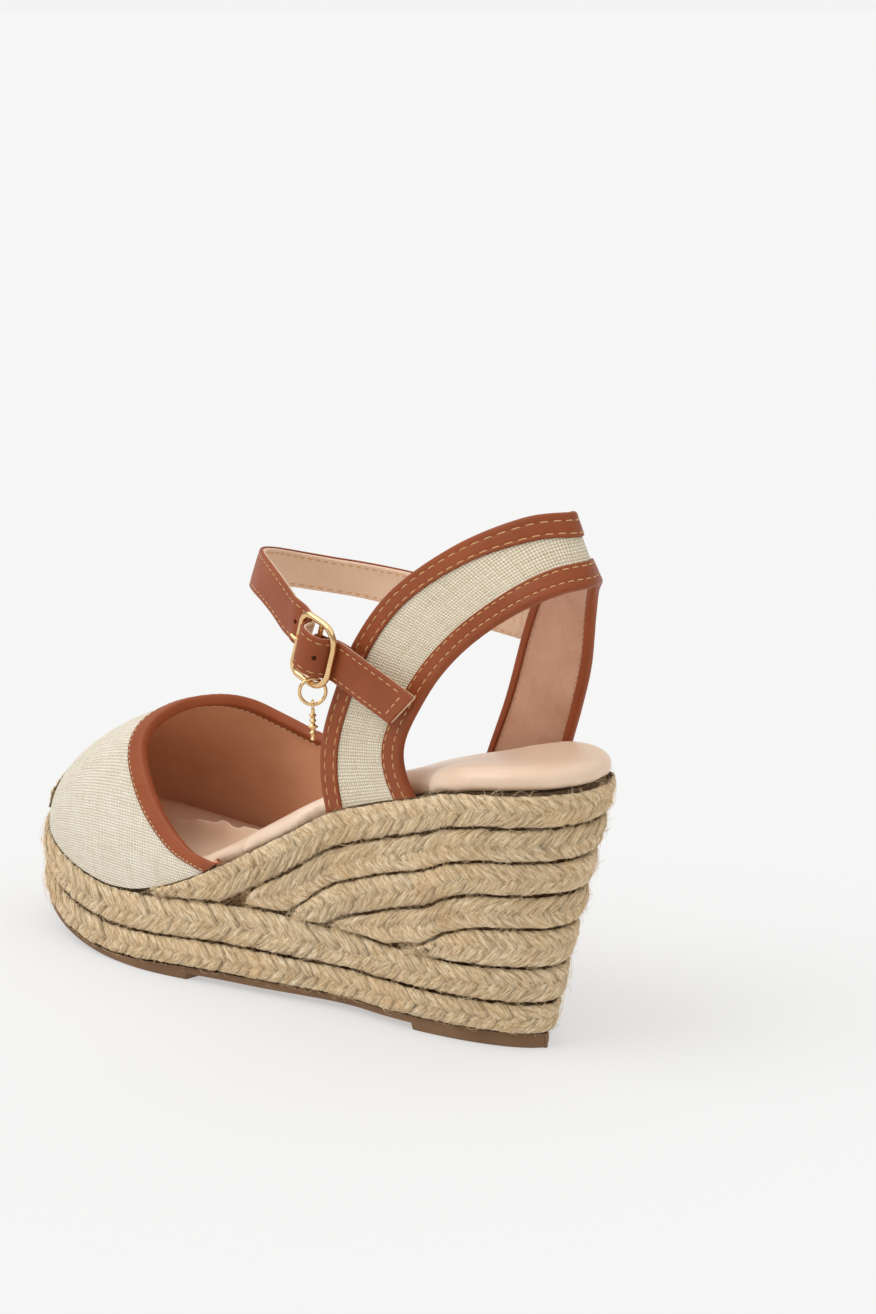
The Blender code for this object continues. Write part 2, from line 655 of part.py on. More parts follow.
def strap_surface(t, v):
    """Ankle strap: t from the sewn end to the tail, v from the lower to the upper edge."""
    at = spline(STRAP_MIDDLE, t)
    step = 0.004
    along = unit(spline(STRAP_MIDDLE, min(t + step, 1.0)) - spline(STRAP_MIDDLE, max(t - step, 0.0)))
    beside_buckle = smooth(0.44, 0.50, t)
    lean = 0.16 + 0.24 * smooth(95.0, 125.0, at[1])
    tip = np.array([0.0, 0.0, 1.0]) - lean * np.array([at[0], at[1] - 95.0, 0.0]) / 40.0
    rise = tip * (1 - beside_buckle) + ACROSS * beside_buckle
    rise = unit(rise - along * np.dot(rise, along))
    slant = TAIL_SLANT * beside_buckle * smooth(22.0, TAIL_LENGTH, np.dot(at - BUCKLE_CENTRE, ALONG))
    return at + (rise * STRAP_WIDTH + along * slant) * (v - 0.5)


def strap_fraction(along):
    """t where the strap passes this distance along the buckle."""
    best = min((abs(np.dot(spline(STRAP_MIDDLE, 0.46 + 0.54 * i / 2000) - BUCKLE_CENTRE, ALONG) - along), i)
               for i in range(2001))
    return 0.46 + 0.54 * best[1] / 2000


def rod(name, first, last, radius, sides, material_name="gold"):
    """A straight round bar between two points, used for bars and for cutters."""
    axis = unit(np.subtract(last, first))
    other = unit(np.cross(axis, (0.3, 0.5, 0.8)))
    third = np.cross(axis, other)
    sections = []
    for end in (first, last):
        sections.append([np.asarray(end) + radius * (other * math.cos(2 * math.pi * k / sides)
                                                     + third * math.sin(2 * math.pi * k / sides))
                         for k in range(sides)])
    points, faces = loft(sections, False)
    return make(name, points, faces, material_name)


def strap_holes():
    """Centre and direction of each hole, the middle one being the prong's."""
    holes = [(PRONG_PATH[2], unit(PRONG_PATH[3] - PRONG_PATH[1]))]
    for along in HOLE_PLACES:
        t = strap_fraction(along)
        holes.append((spline(STRAP_MIDDLE, t), surface_normal(strap_surface, t, 0.5)))
    return holes


def make_strap():
    hinge = (-31.9, 37.0, 131.0)
    count = 96
    layers = [("ankle_strap_outer", "tan_leather", 1.2, 0.25),
              ("ankle_strap_lining", "strap_lining", -0.25, -0.9)]
    for name, material_name, outer, inner in layers:
        strap = wall(name, material_name, strap_surface,
                     lambda t, o=outer, i=inner: [(0.0, o), (1.0, o), (1.0, i), (0.0, i)],
                     0.0, 1.0, count, origin=hinge, floor=False)
        for centre, direction in strap_holes():
            radius = 1.15
            cutter = rod("hole_cutter", centre - direction * 4.5, centre + direction * 4.5, radius, 8)
            subtract(strap, cutter)


# ---- buckle -------------------------------------------------------------------------------------------
def tube(name, path, radius, sides, closed, origin=None):
    """A round wire along points, with its section kept square to the path."""
    count = len(path)
    path = [np.asarray(p, float) for p in path]
    sections = []
    reference = None
    for i in range(count):
        ahead = path[(i + 1) % count] if closed or i < count - 1 else path[i]
        behind = path[i - 1] if closed or i > 0 else path[i]
        along = unit(ahead - behind)
        if reference is None:
            reference = np.cross(along, (0.2, 0.9, 0.4))
        reference = unit(reference - along * np.dot(reference, along))
        other = np.cross(along, reference)
        sections.append([path[i] + radius * (reference * math.cos(2 * math.pi * k / sides)
                                             + other * math.sin(2 * math.pi * k / sides))
                         for k in range(sides)])
    points, faces = loft(sections, closed)
    return make(name, points, faces, "gold", origin)


def frame_path():
    """Rounded rectangle of the buckle's frame, as its wire's middle line."""
    path = []
    for corner, (sa, sc) in enumerate(((1, 1), (-1, 1), (-1, -1), (1, -1))):
        radius = FRAME_CORNER["back" if sa > 0 else "front"]
        for k in range(6):
            turn = math.pi / 2 * (corner + k / 5)
            path.append(buckle_point(sa * (FRAME_HALF_LENGTH - radius) + radius * math.cos(turn),
                                     sc * (FRAME_HALF_HEIGHT - radius) + radius * math.sin(turn), 0.0))
    return path


def make_buckle():
    pivot = buckle_point(0.0, 0.0, BAR_LEVEL)
    tube("buckle_frame", frame_path(), FRAME_WIRE, 8, True, origin=pivot)
    reach = FRAME_HALF_HEIGHT - FRAME_WIRE - GAP
    first, last = buckle_point(0.0, -reach, BAR_LEVEL), buckle_point(0.0, reach, BAR_LEVEL)
    rod("buckle_bar", first, last, BAR_RADIUS, 10)


def flat_ring(inner, outer, half_thick, sides):
    """Points and faces of a flat ring round the buckle's bar."""
    sections = []
    for k in range(sides):
        turn = 2 * math.pi * k / sides
        a, n = math.cos(turn), math.sin(turn)
        sections.append([buckle_point(a * r, c, BAR_LEVEL + n * r)
                         for r, c in ((inner, -half_thick), (outer, -half_thick),
                                      (outer, half_thick), (inner, half_thick))])
    return loft(sections, True)


def make_prong():
    """The tongue: an eye round the bar and a pin through the strap to the frame's front bar."""
    pivot = buckle_point(0.0, 0.0, BAR_LEVEL)
    points, faces = flat_ring(BAR_RADIUS + 0.3, BAR_RADIUS + 1.1, 1.0, 14)
    prong = make("buckle_prong", points, faces, "gold", pivot)
    unite(prong, tube("prong_pin", PRONG_PATH, PRONG_RADIUS, 8, False))


def make_tab():
    """Loop of leather round the bar, both ends sewn to the outer side of the heel band."""
    radius = BAR_RADIUS + 0.3
    outer_layer = [(24.0, -4.75), (14.0, -4.8), (9.0, -4.8), (5.4, -3.9), (2.3, -0.4)]
    inner_layer = [(1.6, -3.1), (4.4, -5.1), (9.0, -5.95), (14.0, -5.9), (24.0, -5.8)]
    thick = 0.9
    middle_line = [np.array(p) for p in outer_layer]
    for k in range(1, 8):
        turn = math.radians(65 + 230 * k / 8)
        middle_line.append(np.array([math.cos(turn), math.sin(turn)]) * (radius + thick / 2)
                           + np.array([0.0, BAR_LEVEL]))
    middle_line += [np.array(p) for p in inner_layer]
    sections = []
    for i, at in enumerate(middle_line):
        ahead = middle_line[min(i + 1, len(middle_line) - 1)]
        behind = middle_line[max(i - 1, 0)]
        along = unit(ahead - behind)
        square = np.array([-along[1], along[0]]) * thick / 2
        half = TAB_HALF_WIDTH - 1.8 * smooth(9.0, 15.0, at[0])
        corners = ((at + square, -half), (at + square, half), (at - square, half), (at - square, -half))
        sections.append([buckle_point(p[0], c, p[1]) for p, c in corners])
    points, faces = loft(sections, False)
    tab = make("buckle_tab", points, faces, "tan_leather")
    slot = [buckle_point(a, c, n) for a in (-4.5, 3.6) for c, n in
            ((-1.5, -5.0), (1.5, -5.0), (1.5, 4.0), (-1.5, 4.0))]
    points, faces = loft([slot[:4], slot[4:]], False)
    subtract(tab, make("slot_cutter", points, faces, "gold"))


# ---- ring and charm -----------------------------------------------------------------------------------
RING_TURN = math.radians(36)         # the ring has slid round to face outwards and back
RING_BAR_POINT = buckle_point(2.6, -FRAME_HALF_HEIGHT, 0.0)
RING_CENTRE = RING_BAR_POINT + np.array([0.0, 0.0, FRAME_WIRE + RING_WIRE + 0.25 - RING_RADIUS])
RING_SIDE = np.array([math.cos(RING_TURN), math.sin(RING_TURN), 0.0])
RING_FACE = np.array([math.sin(RING_TURN), -math.cos(RING_TURN), 0.0])


def circle(centre, first, second, radius, count):
    return [centre + radius * (first * math.cos(2 * math.pi * k / count)
                               + second * math.sin(2 * math.pi * k / count)) for k in range(count)]


def make_ring_and_charm():
    up = np.array([0.0, 0.0, 1.0])
    tube("jump_ring", circle(RING_CENTRE, RING_SIDE, up, RING_RADIUS, 24), RING_WIRE, 6, True,
         origin=RING_BAR_POINT)
    hook = RING_CENTRE - up * RING_RADIUS
    middle_point = hook - up * (CHARM_LENGTH / 2 - CHARM_WIRE - RING_WIRE - 0.15)
    drop = []
    for k in range(20):
        turn = 2 * math.pi * k / 20
        across = CHARM_WIDTH / 2 * math.copysign(abs(math.sin(turn)) ** 0.6, math.sin(turn))
        drop.append(middle_point + RING_FACE * across + up * CHARM_LENGTH / 2 * math.cos(turn))
    tube("charm", drop, CHARM_WIRE, 6, True, origin=hook)


# ---- build --------------------------------------------------------------------------------------------
def build():
    for old in list(bpy.data.objects):
        bpy.data.objects.remove(old)
    make_outsole()
    make_braids()
    make_core_and_board()
    make_footbed()
    make_vamp()
    make_toe_bumper()
    make_band()
    make_strap()
    make_tab()
    make_buckle()
    make_prong()
    make_ring_and_charm()


build()
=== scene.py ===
import math

import bmesh
import bpy
import numpy as np
from mathutils import Euler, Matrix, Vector


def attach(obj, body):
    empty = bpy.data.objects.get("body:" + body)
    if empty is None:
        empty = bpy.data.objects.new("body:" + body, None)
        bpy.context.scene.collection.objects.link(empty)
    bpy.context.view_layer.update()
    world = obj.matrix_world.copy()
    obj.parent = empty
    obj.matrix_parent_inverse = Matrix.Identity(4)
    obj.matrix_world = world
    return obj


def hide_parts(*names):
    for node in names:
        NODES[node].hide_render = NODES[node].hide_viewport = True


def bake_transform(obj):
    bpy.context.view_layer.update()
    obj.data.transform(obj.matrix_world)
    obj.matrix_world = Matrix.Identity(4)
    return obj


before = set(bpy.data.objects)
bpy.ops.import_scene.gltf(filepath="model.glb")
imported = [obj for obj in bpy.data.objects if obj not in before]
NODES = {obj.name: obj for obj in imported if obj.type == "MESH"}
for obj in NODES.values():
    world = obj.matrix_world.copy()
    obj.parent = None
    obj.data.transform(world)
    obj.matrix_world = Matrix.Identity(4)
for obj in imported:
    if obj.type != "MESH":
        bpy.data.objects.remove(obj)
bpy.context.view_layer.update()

# Looks of the wedge espadrille sandal, left foot. Shapes are worked out in the same shoe coordinates as the
# CAD, in millimetres: x to the outer side, u forwards from the back of the heel base, z up.
RNG = np.random.default_rng(11)

BASE_LENGTH, HEEL_OVERHANG, HEEL_HEIGHT, PLATFORM_HEIGHT = 242.5, 19.2, 90.4, 27.3
PLATFORM_SPLIT, TOE_SPRING, TOE_SPRING_START = 16.2, 15.4, 163.0
OUTSOLE_THICKNESS, TOE_SEAM_DROP, WEDGE_ROWS, GAP, VAMP_SEAT = 5.0, 3.0, 5, 0.3, 0.05
HEEL_HALF_WIDTH = {"base": 22.6, "top": 32.4}
HEEL_ROUNDING = {"base": 63.8, "top": 41.3}
HEEL_EXPONENT = {"base": 1.76, "top": 2.13}
WAIST_HALF_WIDTH = {"base": 34.4, "top": 35.9}
BALL_HALF_WIDTH = {1: 44.7, -1: 42.7}
BALL_AT, TOE_ROUNDING, TOE_EXPONENT, TOE_SWING = 162.3, 80.8, 2.3, 2.0
BRAID_BULGE, BRAID_STEP, BRAID_PITCH, BUMPER_PITCH, FUZZ_PER_MM = 1.2, 0.072, 4.3, 3.4, 2.4
BUNDLE_WIDTH, BUNDLE_THICKNESS, BUNDLE_TURN, BUNDLE_END = 0.56, 1.1, 1.05, 0.37
BUNDLE_SINK, TUCK_DEPTH, SHINGLE = -0.72, 0.95, -0.13
HEEL_PAD_END, TREAD_START, ARCH_RISE = 43.3, 136.7, 2.2
GROOVE_SPANS, GROOVE_PITCH, GROOVE_DEPTH = ((8.0, HEEL_PAD_END - 4), (TREAD_START + 5, 228.0)), 5.2, 0.8
WEDGE_PROFILE = [(-20.0, 90.6), (0.0, 90.2), (14.0, 88.9), (29.0, 84.6), (50.0, 78.6), (70.0, 71.7),
                 (90.0, 60.8), (116.0, 46.6), (134.0, 37.4), (148.0, 32.0), (162.0, 28.6), (178.0, 27.3),
                 (246.0, 27.3)]
PLATFORM_PROFILE = [(0.0, 29.4), (30.0, 28.6), (60.0, 29.6), (85.0, 30.6), (108.0, 32.0), (128.0, 31.0),
                    (146.0, 29.4), (165.0, 28.0), (180.0, 27.3), (246.0, 27.3)]
BAND_UPPER = [(31.0, 70.5, 70.0), (32.2, 72.2, 84.0), (32.4, 70.8, 98.0), (31.6, 65.3, 114.0),
              (30.2, 57.0, 132.0), (27.6, 42.0, 150.0), (22.8, 18.5, 166.3), (13.0, -1.0, 175.8),
              (0.0, -8.8, 177.0), (-11.5, 2.0, 174.0), (-19.5, 11.0, 165.5), (-25.0, 24.5, 151.5),
              (-27.8, 35.5, 132.0), (-29.0, 45.0, 107.0), (-29.4, 53.0, 89.0), (-29.2, 59.0, 74.5)]
BAND_LOWER = [(31.0, 31.0, 82.5), (32.0, 35.3, 91.5), (32.2, 35.6, 101.0), (31.7, 29.5, 113.0),
              (30.4, 19.5, 127.0), (27.8, 6.0, 140.0), (22.0, -9.0, 151.0), (12.0, -16.6, 155.8),
              (0.0, -18.2, 156.4), (-12.5, -9.8, 154.8), (-21.0, -0.5, 149.0), (-26.3, 5.6, 139.0),
              (-28.4, 9.3, 122.0), (-29.3, 14.3, 106.5), (-29.7, 18.8, 94.0), (-29.6, 21.0, 84.5)]
THROAT = [(39.3, 120.5, 45.0), (38.0, 138.0, 47.5), (34.5, 156.0, 56.0), (30.0, 169.5, 67.0),
          (24.0, 178.0, 75.5), (15.0, 181.5, 82.0), (4.0, 178.0, 87.0), (-7.0, 171.5, 88.4),
          (-17.0, 165.5, 86.0), (-24.5, 155.5, 80.6), (-29.5, 140.5, 75.2), (-33.0, 117.0, 71.5),
          (-34.6, 93.0, 61.5)]
VAMP_INSET, BUMPER_SPAN = 1.6, (14 / 39, 26 / 39)
CUSHION_HEEL, CUSHION_TOE, PAD_SINK = 6.9, 4.5, 0.9
PAD_OPEN_INSET, PAD_VAMP_INSET = 0.7, 3.6
PAD_VOXEL, PAD_PRESSURE, PAD_PUFF, CLOTH_MASS, CLOTH_QUALITY = 0.0024, 4.0, 0.0012, 0.3, 6
BUCKLE_CENTRE = np.array([38.8, 68.6, 127.3])
STRAP_SLOPE = math.radians(18.4)
ALONG = np.array([0.0, -math.cos(STRAP_SLOPE), -math.sin(STRAP_SLOPE)])
ACROSS = np.array([0.0, -math.sin(STRAP_SLOPE), math.cos(STRAP_SLOPE)])
OUT = np.array([1.0, 0.0, 0.0])
UP = np.array([0.0, 0.0, 1.0])
STRAP_WIDTH, TAIL_LENGTH, TAIL_SLANT, HOLE_PLACES = 14.0, 41.7, 8.0, (-13.6, 3.1)
FRAME_HALF_LENGTH, FRAME_HALF_HEIGHT, FRAME_WIRE = 8.2, 10.8, 1.1
FRAME_CORNER = {"front": 3.4, "back": 6.8}
TAB_HALF_WIDTH = 5.6
BAR_RADIUS, BAR_LEVEL, PRONG_RADIUS = 0.9, -0.8, 0.75
RING_RADIUS, RING_WIRE, RING_TURN = 4.3, 0.6, math.radians(36)
FLOOR_ALBEDO, FLOOR_GLOW, FLOOR_REACH, SUN_POWER = 0.36, 0.485, 60.0, 1.1
SKY_LEVELS = [(0.0, 0.905), (0.13, 0.905), (0.22, 0.36), (0.50, 0.36), (0.60, 1.18), (1.0, 1.18)]
CAMERA_PLACE, CAMERA_TURN, CAMERA_LENS = (0.68569, 0.76983, 0.33446), (77.88, 0.0, 135.92), 83.95
U_MIDDLE = (BASE_LENGTH - HEEL_OVERHANG) / 2
X_MIDDLE = (BALL_HALF_WIDTH[1] - BALL_HALF_WIDTH[-1]) / 2


# ---- numbers and curves ---------------------------------------------------------------------------------
def place(points):
    """Shoe coordinates in mm to the row frame in metres."""
    p = np.asarray(points, float)
    return np.stack([p[..., 0] - X_MIDDLE, U_MIDDLE - p[..., 1], p[..., 2]], -1) * 0.001


def unit(v):
    return v / np.maximum(np.linalg.norm(v, axis=-1, keepdims=True), 1e-12)


def smooth(low, high, value):
    t = np.clip((np.asarray(value, float) - low) / (high - low), 0.0, 1.0)
    return t * t * (3 - 2 * t)


def curve(knots):
    """Smooth curve through (value, height) knots that doesn't overshoot."""
    xs, ys = np.array(knots, float).T
    steps = np.diff(ys) / np.diff(xs)
    slopes = np.concatenate([[steps[0]], np.zeros(len(steps) - 1), [steps[-1]]])
    for k in range(1, len(steps)):
        if steps[k - 1] * steps[k] > 0:
            slopes[k] = 2 * steps[k - 1] * steps[k] / (steps[k - 1] + steps[k])

    def height(value):
        value = np.asarray(value, float)
        i = np.clip(np.searchsorted(xs, value) - 1, 0, len(steps) - 1)
        h = xs[i + 1] - xs[i]
        t = (value - xs[i]) / h
        return ((1 + 2 * t) * (1 - t) ** 2 * ys[i] + t * (1 - t) ** 2 * h * slopes[i]
                + t * t * (3 - 2 * t) * ys[i + 1] + t * t * (t - 1) * h * slopes[i + 1])
    return height


def pairs(a, b):
    """Two coordinates broadcast together, as pairs."""
    return np.stack(np.broadcast_arrays(a, b), -1)


def spline(points, t):
    """Points at t, from 0 to 1, on a Catmull-Rom curve."""
    p = np.asarray(points, float)
    p = np.concatenate([[2 * p[0] - p[1]], p, [2 * p[-1] - p[-2]]])
    last = len(p) - 3
    at = np.clip(np.asarray(t, float), 0, 1) * last
    i = np.minimum(at.astype(int), last - 1)
    f = (at - i)[..., None]
    a, b, c, d = p[i], p[i + 1], p[i + 2], p[i + 3]
    return 0.5 * (2 * b + (c - a) * f + (2 * a - 5 * b + 4 * c - d) * f * f
                  + (3 * b - a - 3 * c + d) * f ** 3)


# ---- outline of the bottom unit, as in the CAD ----------------------------------------------------------
WEDGE_TOP, PLATFORM_TOP = curve(WEDGE_PROFILE), curve(PLATFORM_PROFILE)


def half_width(u, level, side):
    start = -HEEL_OVERHANG if level == "top" else 0.0
    rounding, heel, ball = HEEL_ROUNDING[level], HEEL_HALF_WIDTH[level], BALL_HALF_WIDTH[side]
    width = curve([(start - 1, heel), (start + rounding, heel),
                   ((rounding + start + BALL_AT) / 2, WAIST_HALF_WIDTH[level]),
                   (BALL_AT, ball), (BASE_LENGTH + 1, ball * 0.98)])(u)
    back = np.clip((start + rounding - u) / rounding, 0.0, 1.0)
    front = np.clip((u - BASE_LENGTH + TOE_ROUNDING) / TOE_ROUNDING, 0.0, 1.0)
    exponent = HEEL_EXPONENT[level]
    return (width * (1 - back ** exponent) ** (1 / exponent)
            * (1 - front ** TOE_EXPONENT) ** (1 / TOE_EXPONENT))


def middle(u):
    return TOE_SWING * np.clip((u - 106.0) / 116.0, 0.0, 1.0) ** 2


def sole_level(u):
    return TOE_SPRING * np.clip((u - TOE_SPRING_START) / (BASE_LENGTH - TOE_SPRING_START), 0.0, 1.0) ** 2


def braid_top(u):
    return WEDGE_TOP(u) + sole_level(u)


def edge(angle, level):
    angle = (np.asarray(angle, float) + math.pi) % (2 * math.pi) - math.pi
    start = -HEEL_OVERHANG if level == "top" else 0.0
    u = start + (BASE_LENGTH - start) * (1 - np.cos(angle)) / 2
    wide = np.where(angle >= 0, half_width(u, level, 1), -half_width(u, level, -1))
    return np.stack([middle(u) + wide, u], -1)


def edge_normal(angle, level):
    along = edge(angle + 0.02, level) - edge(angle - 0.02, level)
    return unit(np.stack([along[..., 1], -along[..., 0]], -1))


def side_point(angle, z, inset):
    base, top = edge(angle, "base"), edge(angle, "top")
    low, high = sole_level(base[..., 1]), braid_top(top[..., 1])
    f = ((z - low) / (high - low))[..., None]
    normal = unit(edge_normal(angle, "base") * (1 - f) + edge_normal(angle, "top") * f)
    at = base + (top - base) * f - normal * np.asarray(inset)[..., None]
    return np.concatenate([at, np.asarray(z)[..., None]], -1)


def outsole_top(u):
    return sole_level(u) + OUTSOLE_THICKNESS - TOE_SEAM_DROP * smooth(125.0, 195.0, u)


def platform_seam(row, angle):
    u = edge(angle, "base")[..., 1]
    if row == 0:
        return outsole_top(u)
    if row == 1:
        return sole_level(u) + PLATFORM_SPLIT - TOE_SEAM_DROP * smooth(115.0, 190.0, u)
    return np.minimum(PLATFORM_TOP(u) + sole_level(u), braid_top(edge(angle, "top")[..., 1]))


def wedge_seam(row, angle):
    if row == WEDGE_ROWS:
        return platform_seam(2, angle)
    u = edge(angle, "top")[..., 1]
    slope = (braid_top(u + 1) - braid_top(u - 1)) / 2
    tightness = 0.94 + 0.06 * smooth(-5.0, 25.0, u) + 0.07 * smooth(60.0, 110.0, u)
    pitch = (HEEL_HEIGHT - PLATFORM_HEIGHT) / WEDGE_ROWS
    return np.maximum(braid_top(u) - row * pitch * tightness * np.sqrt(1 + slope * slope),
                      platform_seam(2, angle))


# ---- walls of the upper, as in the CAD ------------------------------------------------------------------
def band_surface(t, v):
    low, high = spline(BAND_LOWER, t), spline(BAND_UPPER, t)
    return low + (high - low) * v[..., None]


def vamp_foot(t):
    def angle_at(u):
        return math.acos(1 - 2 * (u + HEEL_OVERHANG) / (BASE_LENGTH + HEEL_OVERHANG))
    first, last = angle_at(123.0), 2 * math.pi - angle_at(93.5)
    angle = first + (last - first) * t
    at = edge(angle, "top") - edge_normal(angle, "top") * VAMP_INSET
    return np.concatenate([at, (braid_top(np.minimum(at[..., 1], BASE_LENGTH)) + VAMP_SEAT)[..., None]], -1)


def vamp_surface(t, v):
    foot, rim = vamp_foot(t), spline(THROAT, t)
    lean = rim - foot
    first = foot + lean * np.array([0.02, 0.02, 0.43])
    second = rim - lean * np.array([0.45, 0.45, 0.15])
    w = np.clip(v, 0, 1)[..., None]
    at = foot * (1 - w) ** 3 + first * 3 * w * (1 - w) ** 2 + second * 3 * w * w * (1 - w) + rim * w ** 3
    beyond = np.maximum(v - 1.0, 0.0)[..., None] * np.linalg.norm(lean, axis=-1, keepdims=True)
    return at + unit(rim - second) * beyond


def buckle_point(along, across, out):
    return (BUCKLE_CENTRE + np.asarray(along)[..., None] * ALONG + np.asarray(across)[..., None] * ACROSS
            + np.asarray(out)[..., None] * OUT)


STRAP_MIDDLE = [(-31.9, 25.0, 130.5), (-32.0, 38.0, 131.0), (-31.8, 60.0, 132.5), (-30.6, 80.0, 133.8),
                (-28.6, 100.0, 135.0), (-24.4, 114.5, 136.4), (-16.5, 124.5, 138.2), (-6.0, 130.0, 140.7),
                (5.0, 129.6, 143.2), (14.6, 124.0, 144.8), (21.2, 115.4, 144.9), (25.8, 106.0, 143.4),
                (29.3, 96.8, 140.5)]
STRAP_MIDDLE += [tuple(buckle_point(*place)) for place in (
    (-20.5, 3.0, -6.0), (-15.0, 3.6, -4.0), (-10.9, 3.3, -3.4), (-8.2, 2.7, -3.1), (-6.6, 2.3, -2.7),
    (-5.4, 1.9, -1.3), (-4.95, 1.6, 0.6), (-4.5, 1.3, 2.3), (-3.3, 1.0, 3.3), (-1.3, 0.7, 3.7),
    (1.1, 0.4, 3.5), (3.4, 0.2, 2.3), (4.7, 0.1, 0.1), (5.8, 0.0, -2.0), (8.2, 0.0, -2.95),
    (10.9, 0.0, -3.0), (16.0, 0.0, -2.9), (24.0, 0.0, -2.6), (32.0, 0.0, -2.4), (TAIL_LENGTH, 0.0, -1.9))]
PRONG_PATH = np.array([buckle_point(*place) for place in (
    (-1.5, 0.0, -0.45), (-3.2, 0.35, 0.35), (-5.1, 0.75, 1.25), (-7.0, 1.15, 1.95), (-8.3, 1.4, 2.15),
    (-9.8, 1.7, 2.05))])


def strap_surface(t, v):
    at = spline(STRAP_MIDDLE, t)
    ahead, behind = np.minimum(t + 0.004, 1.0), np.maximum(t - 0.004, 0.0)
    along = unit(spline(STRAP_MIDDLE, ahead) - spline(STRAP_MIDDLE, behind))
    beside = smooth(0.44, 0.50, t)[..., None]
    lean = (0.16 + 0.24 * smooth(95.0, 125.0, at[..., 1]))[..., None]
    radial = np.stack([at[..., 0], at[..., 1] - 95.0, np.zeros_like(t)], -1) / 40.0
    rise = (UP - lean * radial) * (1 - beside) + ACROSS * beside
    rise = unit(rise - along * np.sum(rise * along, -1, keepdims=True))
    slant = TAIL_SLANT * beside * smooth(22.0, TAIL_LENGTH, (at - BUCKLE_CENTRE) @ ALONG)[..., None]
    return at + (rise * STRAP_WIDTH + along * slant) * (v - 0.5)[..., None]


class Patch:
    """A sampled surface, looked up by mm along its middle, share across it and height above it."""

    def __init__(self, grid, levels, closed=False, flip=1.0):
        if closed:
            grid = np.concatenate([grid[-2:-1] if np.allclose(grid[0], grid[-1]) else grid[-1:], grid,
                                   grid[:1], grid[1:2]])
        along, across = np.gradient(grid, axis=0), np.gradient(grid, axis=1)
        normal = unit(np.cross(across, along)) * flip
        if closed:
            grid, normal = grid[1:-1], normal[1:-1]
        self.grid, self.normal, self.levels, self.closed = grid, normal, levels, closed
        line = grid[:, len(levels) // 2]
        self.s = np.concatenate([[0], np.cumsum(np.linalg.norm(np.diff(line, axis=0), axis=1))])
        self.length = self.s[-1]
        zero, one = np.searchsorted(levels, 0.0), np.searchsorted(levels, 1.0)
        self.widths = np.sum(np.linalg.norm(np.diff(grid[:, zero:one + 1], axis=1), axis=2), axis=1)

    def width(self, s):
        return np.interp(s % self.length if self.closed else s, self.s, self.widths)

    def at(self, s, v, n):
        s, v, n = np.broadcast_arrays(s, v, n)
        s = s % self.length if self.closed else np.clip(s, 0, self.length)
        i = np.clip(np.searchsorted(self.s, s) - 1, 0, len(self.s) - 2)
        f = ((s - self.s[i]) / np.maximum(self.s[i + 1] - self.s[i], 1e-9))[..., None]
        step = self.levels[1] - self.levels[0]
        across = np.clip((v - self.levels[0]) / step, 0, len(self.levels) - 1.000001)
        j = across.astype(int)
        g = (across - j)[..., None]

        def look(a):
            return ((a[i, j] * (1 - f) + a[i + 1, j] * f) * (1 - g)
                    + (a[i, j + 1] * (1 - f) + a[i + 1, j + 1] * f) * g)
        return look(self.grid) + unit(look(self.normal)) * n[..., None]


def surface_patch(surface, count, low, high, steps, flip=1.0):
    t, v = np.meshgrid(np.linspace(0, 1, count), np.linspace(low, high, steps), indexing="ij")
    return Patch(surface(t, v), np.linspace(low, high, steps), False, flip)


# ---- meshes ---------------------------------------------------------------------------------------------
def faces_of(batch, rings, size, closed, caps):
    """Quads and end faces of batches of swept rings."""
    r = np.arange(rings if closed else rings - 1)
    k = np.arange(size)
    a = r[:, None] * size + k[None]
    b = r[:, None] * size + (k[None] + 1) % size
    step = ((r + 1) % rings)[:, None] * size
    quads = np.stack([a, b, step + (k[None] + 1) % size, step + k[None]], -1).reshape(-1, 4)
    offset = np.arange(batch)[:, None, None] * rings * size
    faces = (quads[None] + offset).reshape(-1, 4).tolist()
    if caps and not closed:
        for i in range(batch):
            start = i * rings * size
            faces.append(list(range(start, start + size)))
            faces.append(list(range(start + (rings - 1) * size, start + rings * size))[::-1])
    return faces


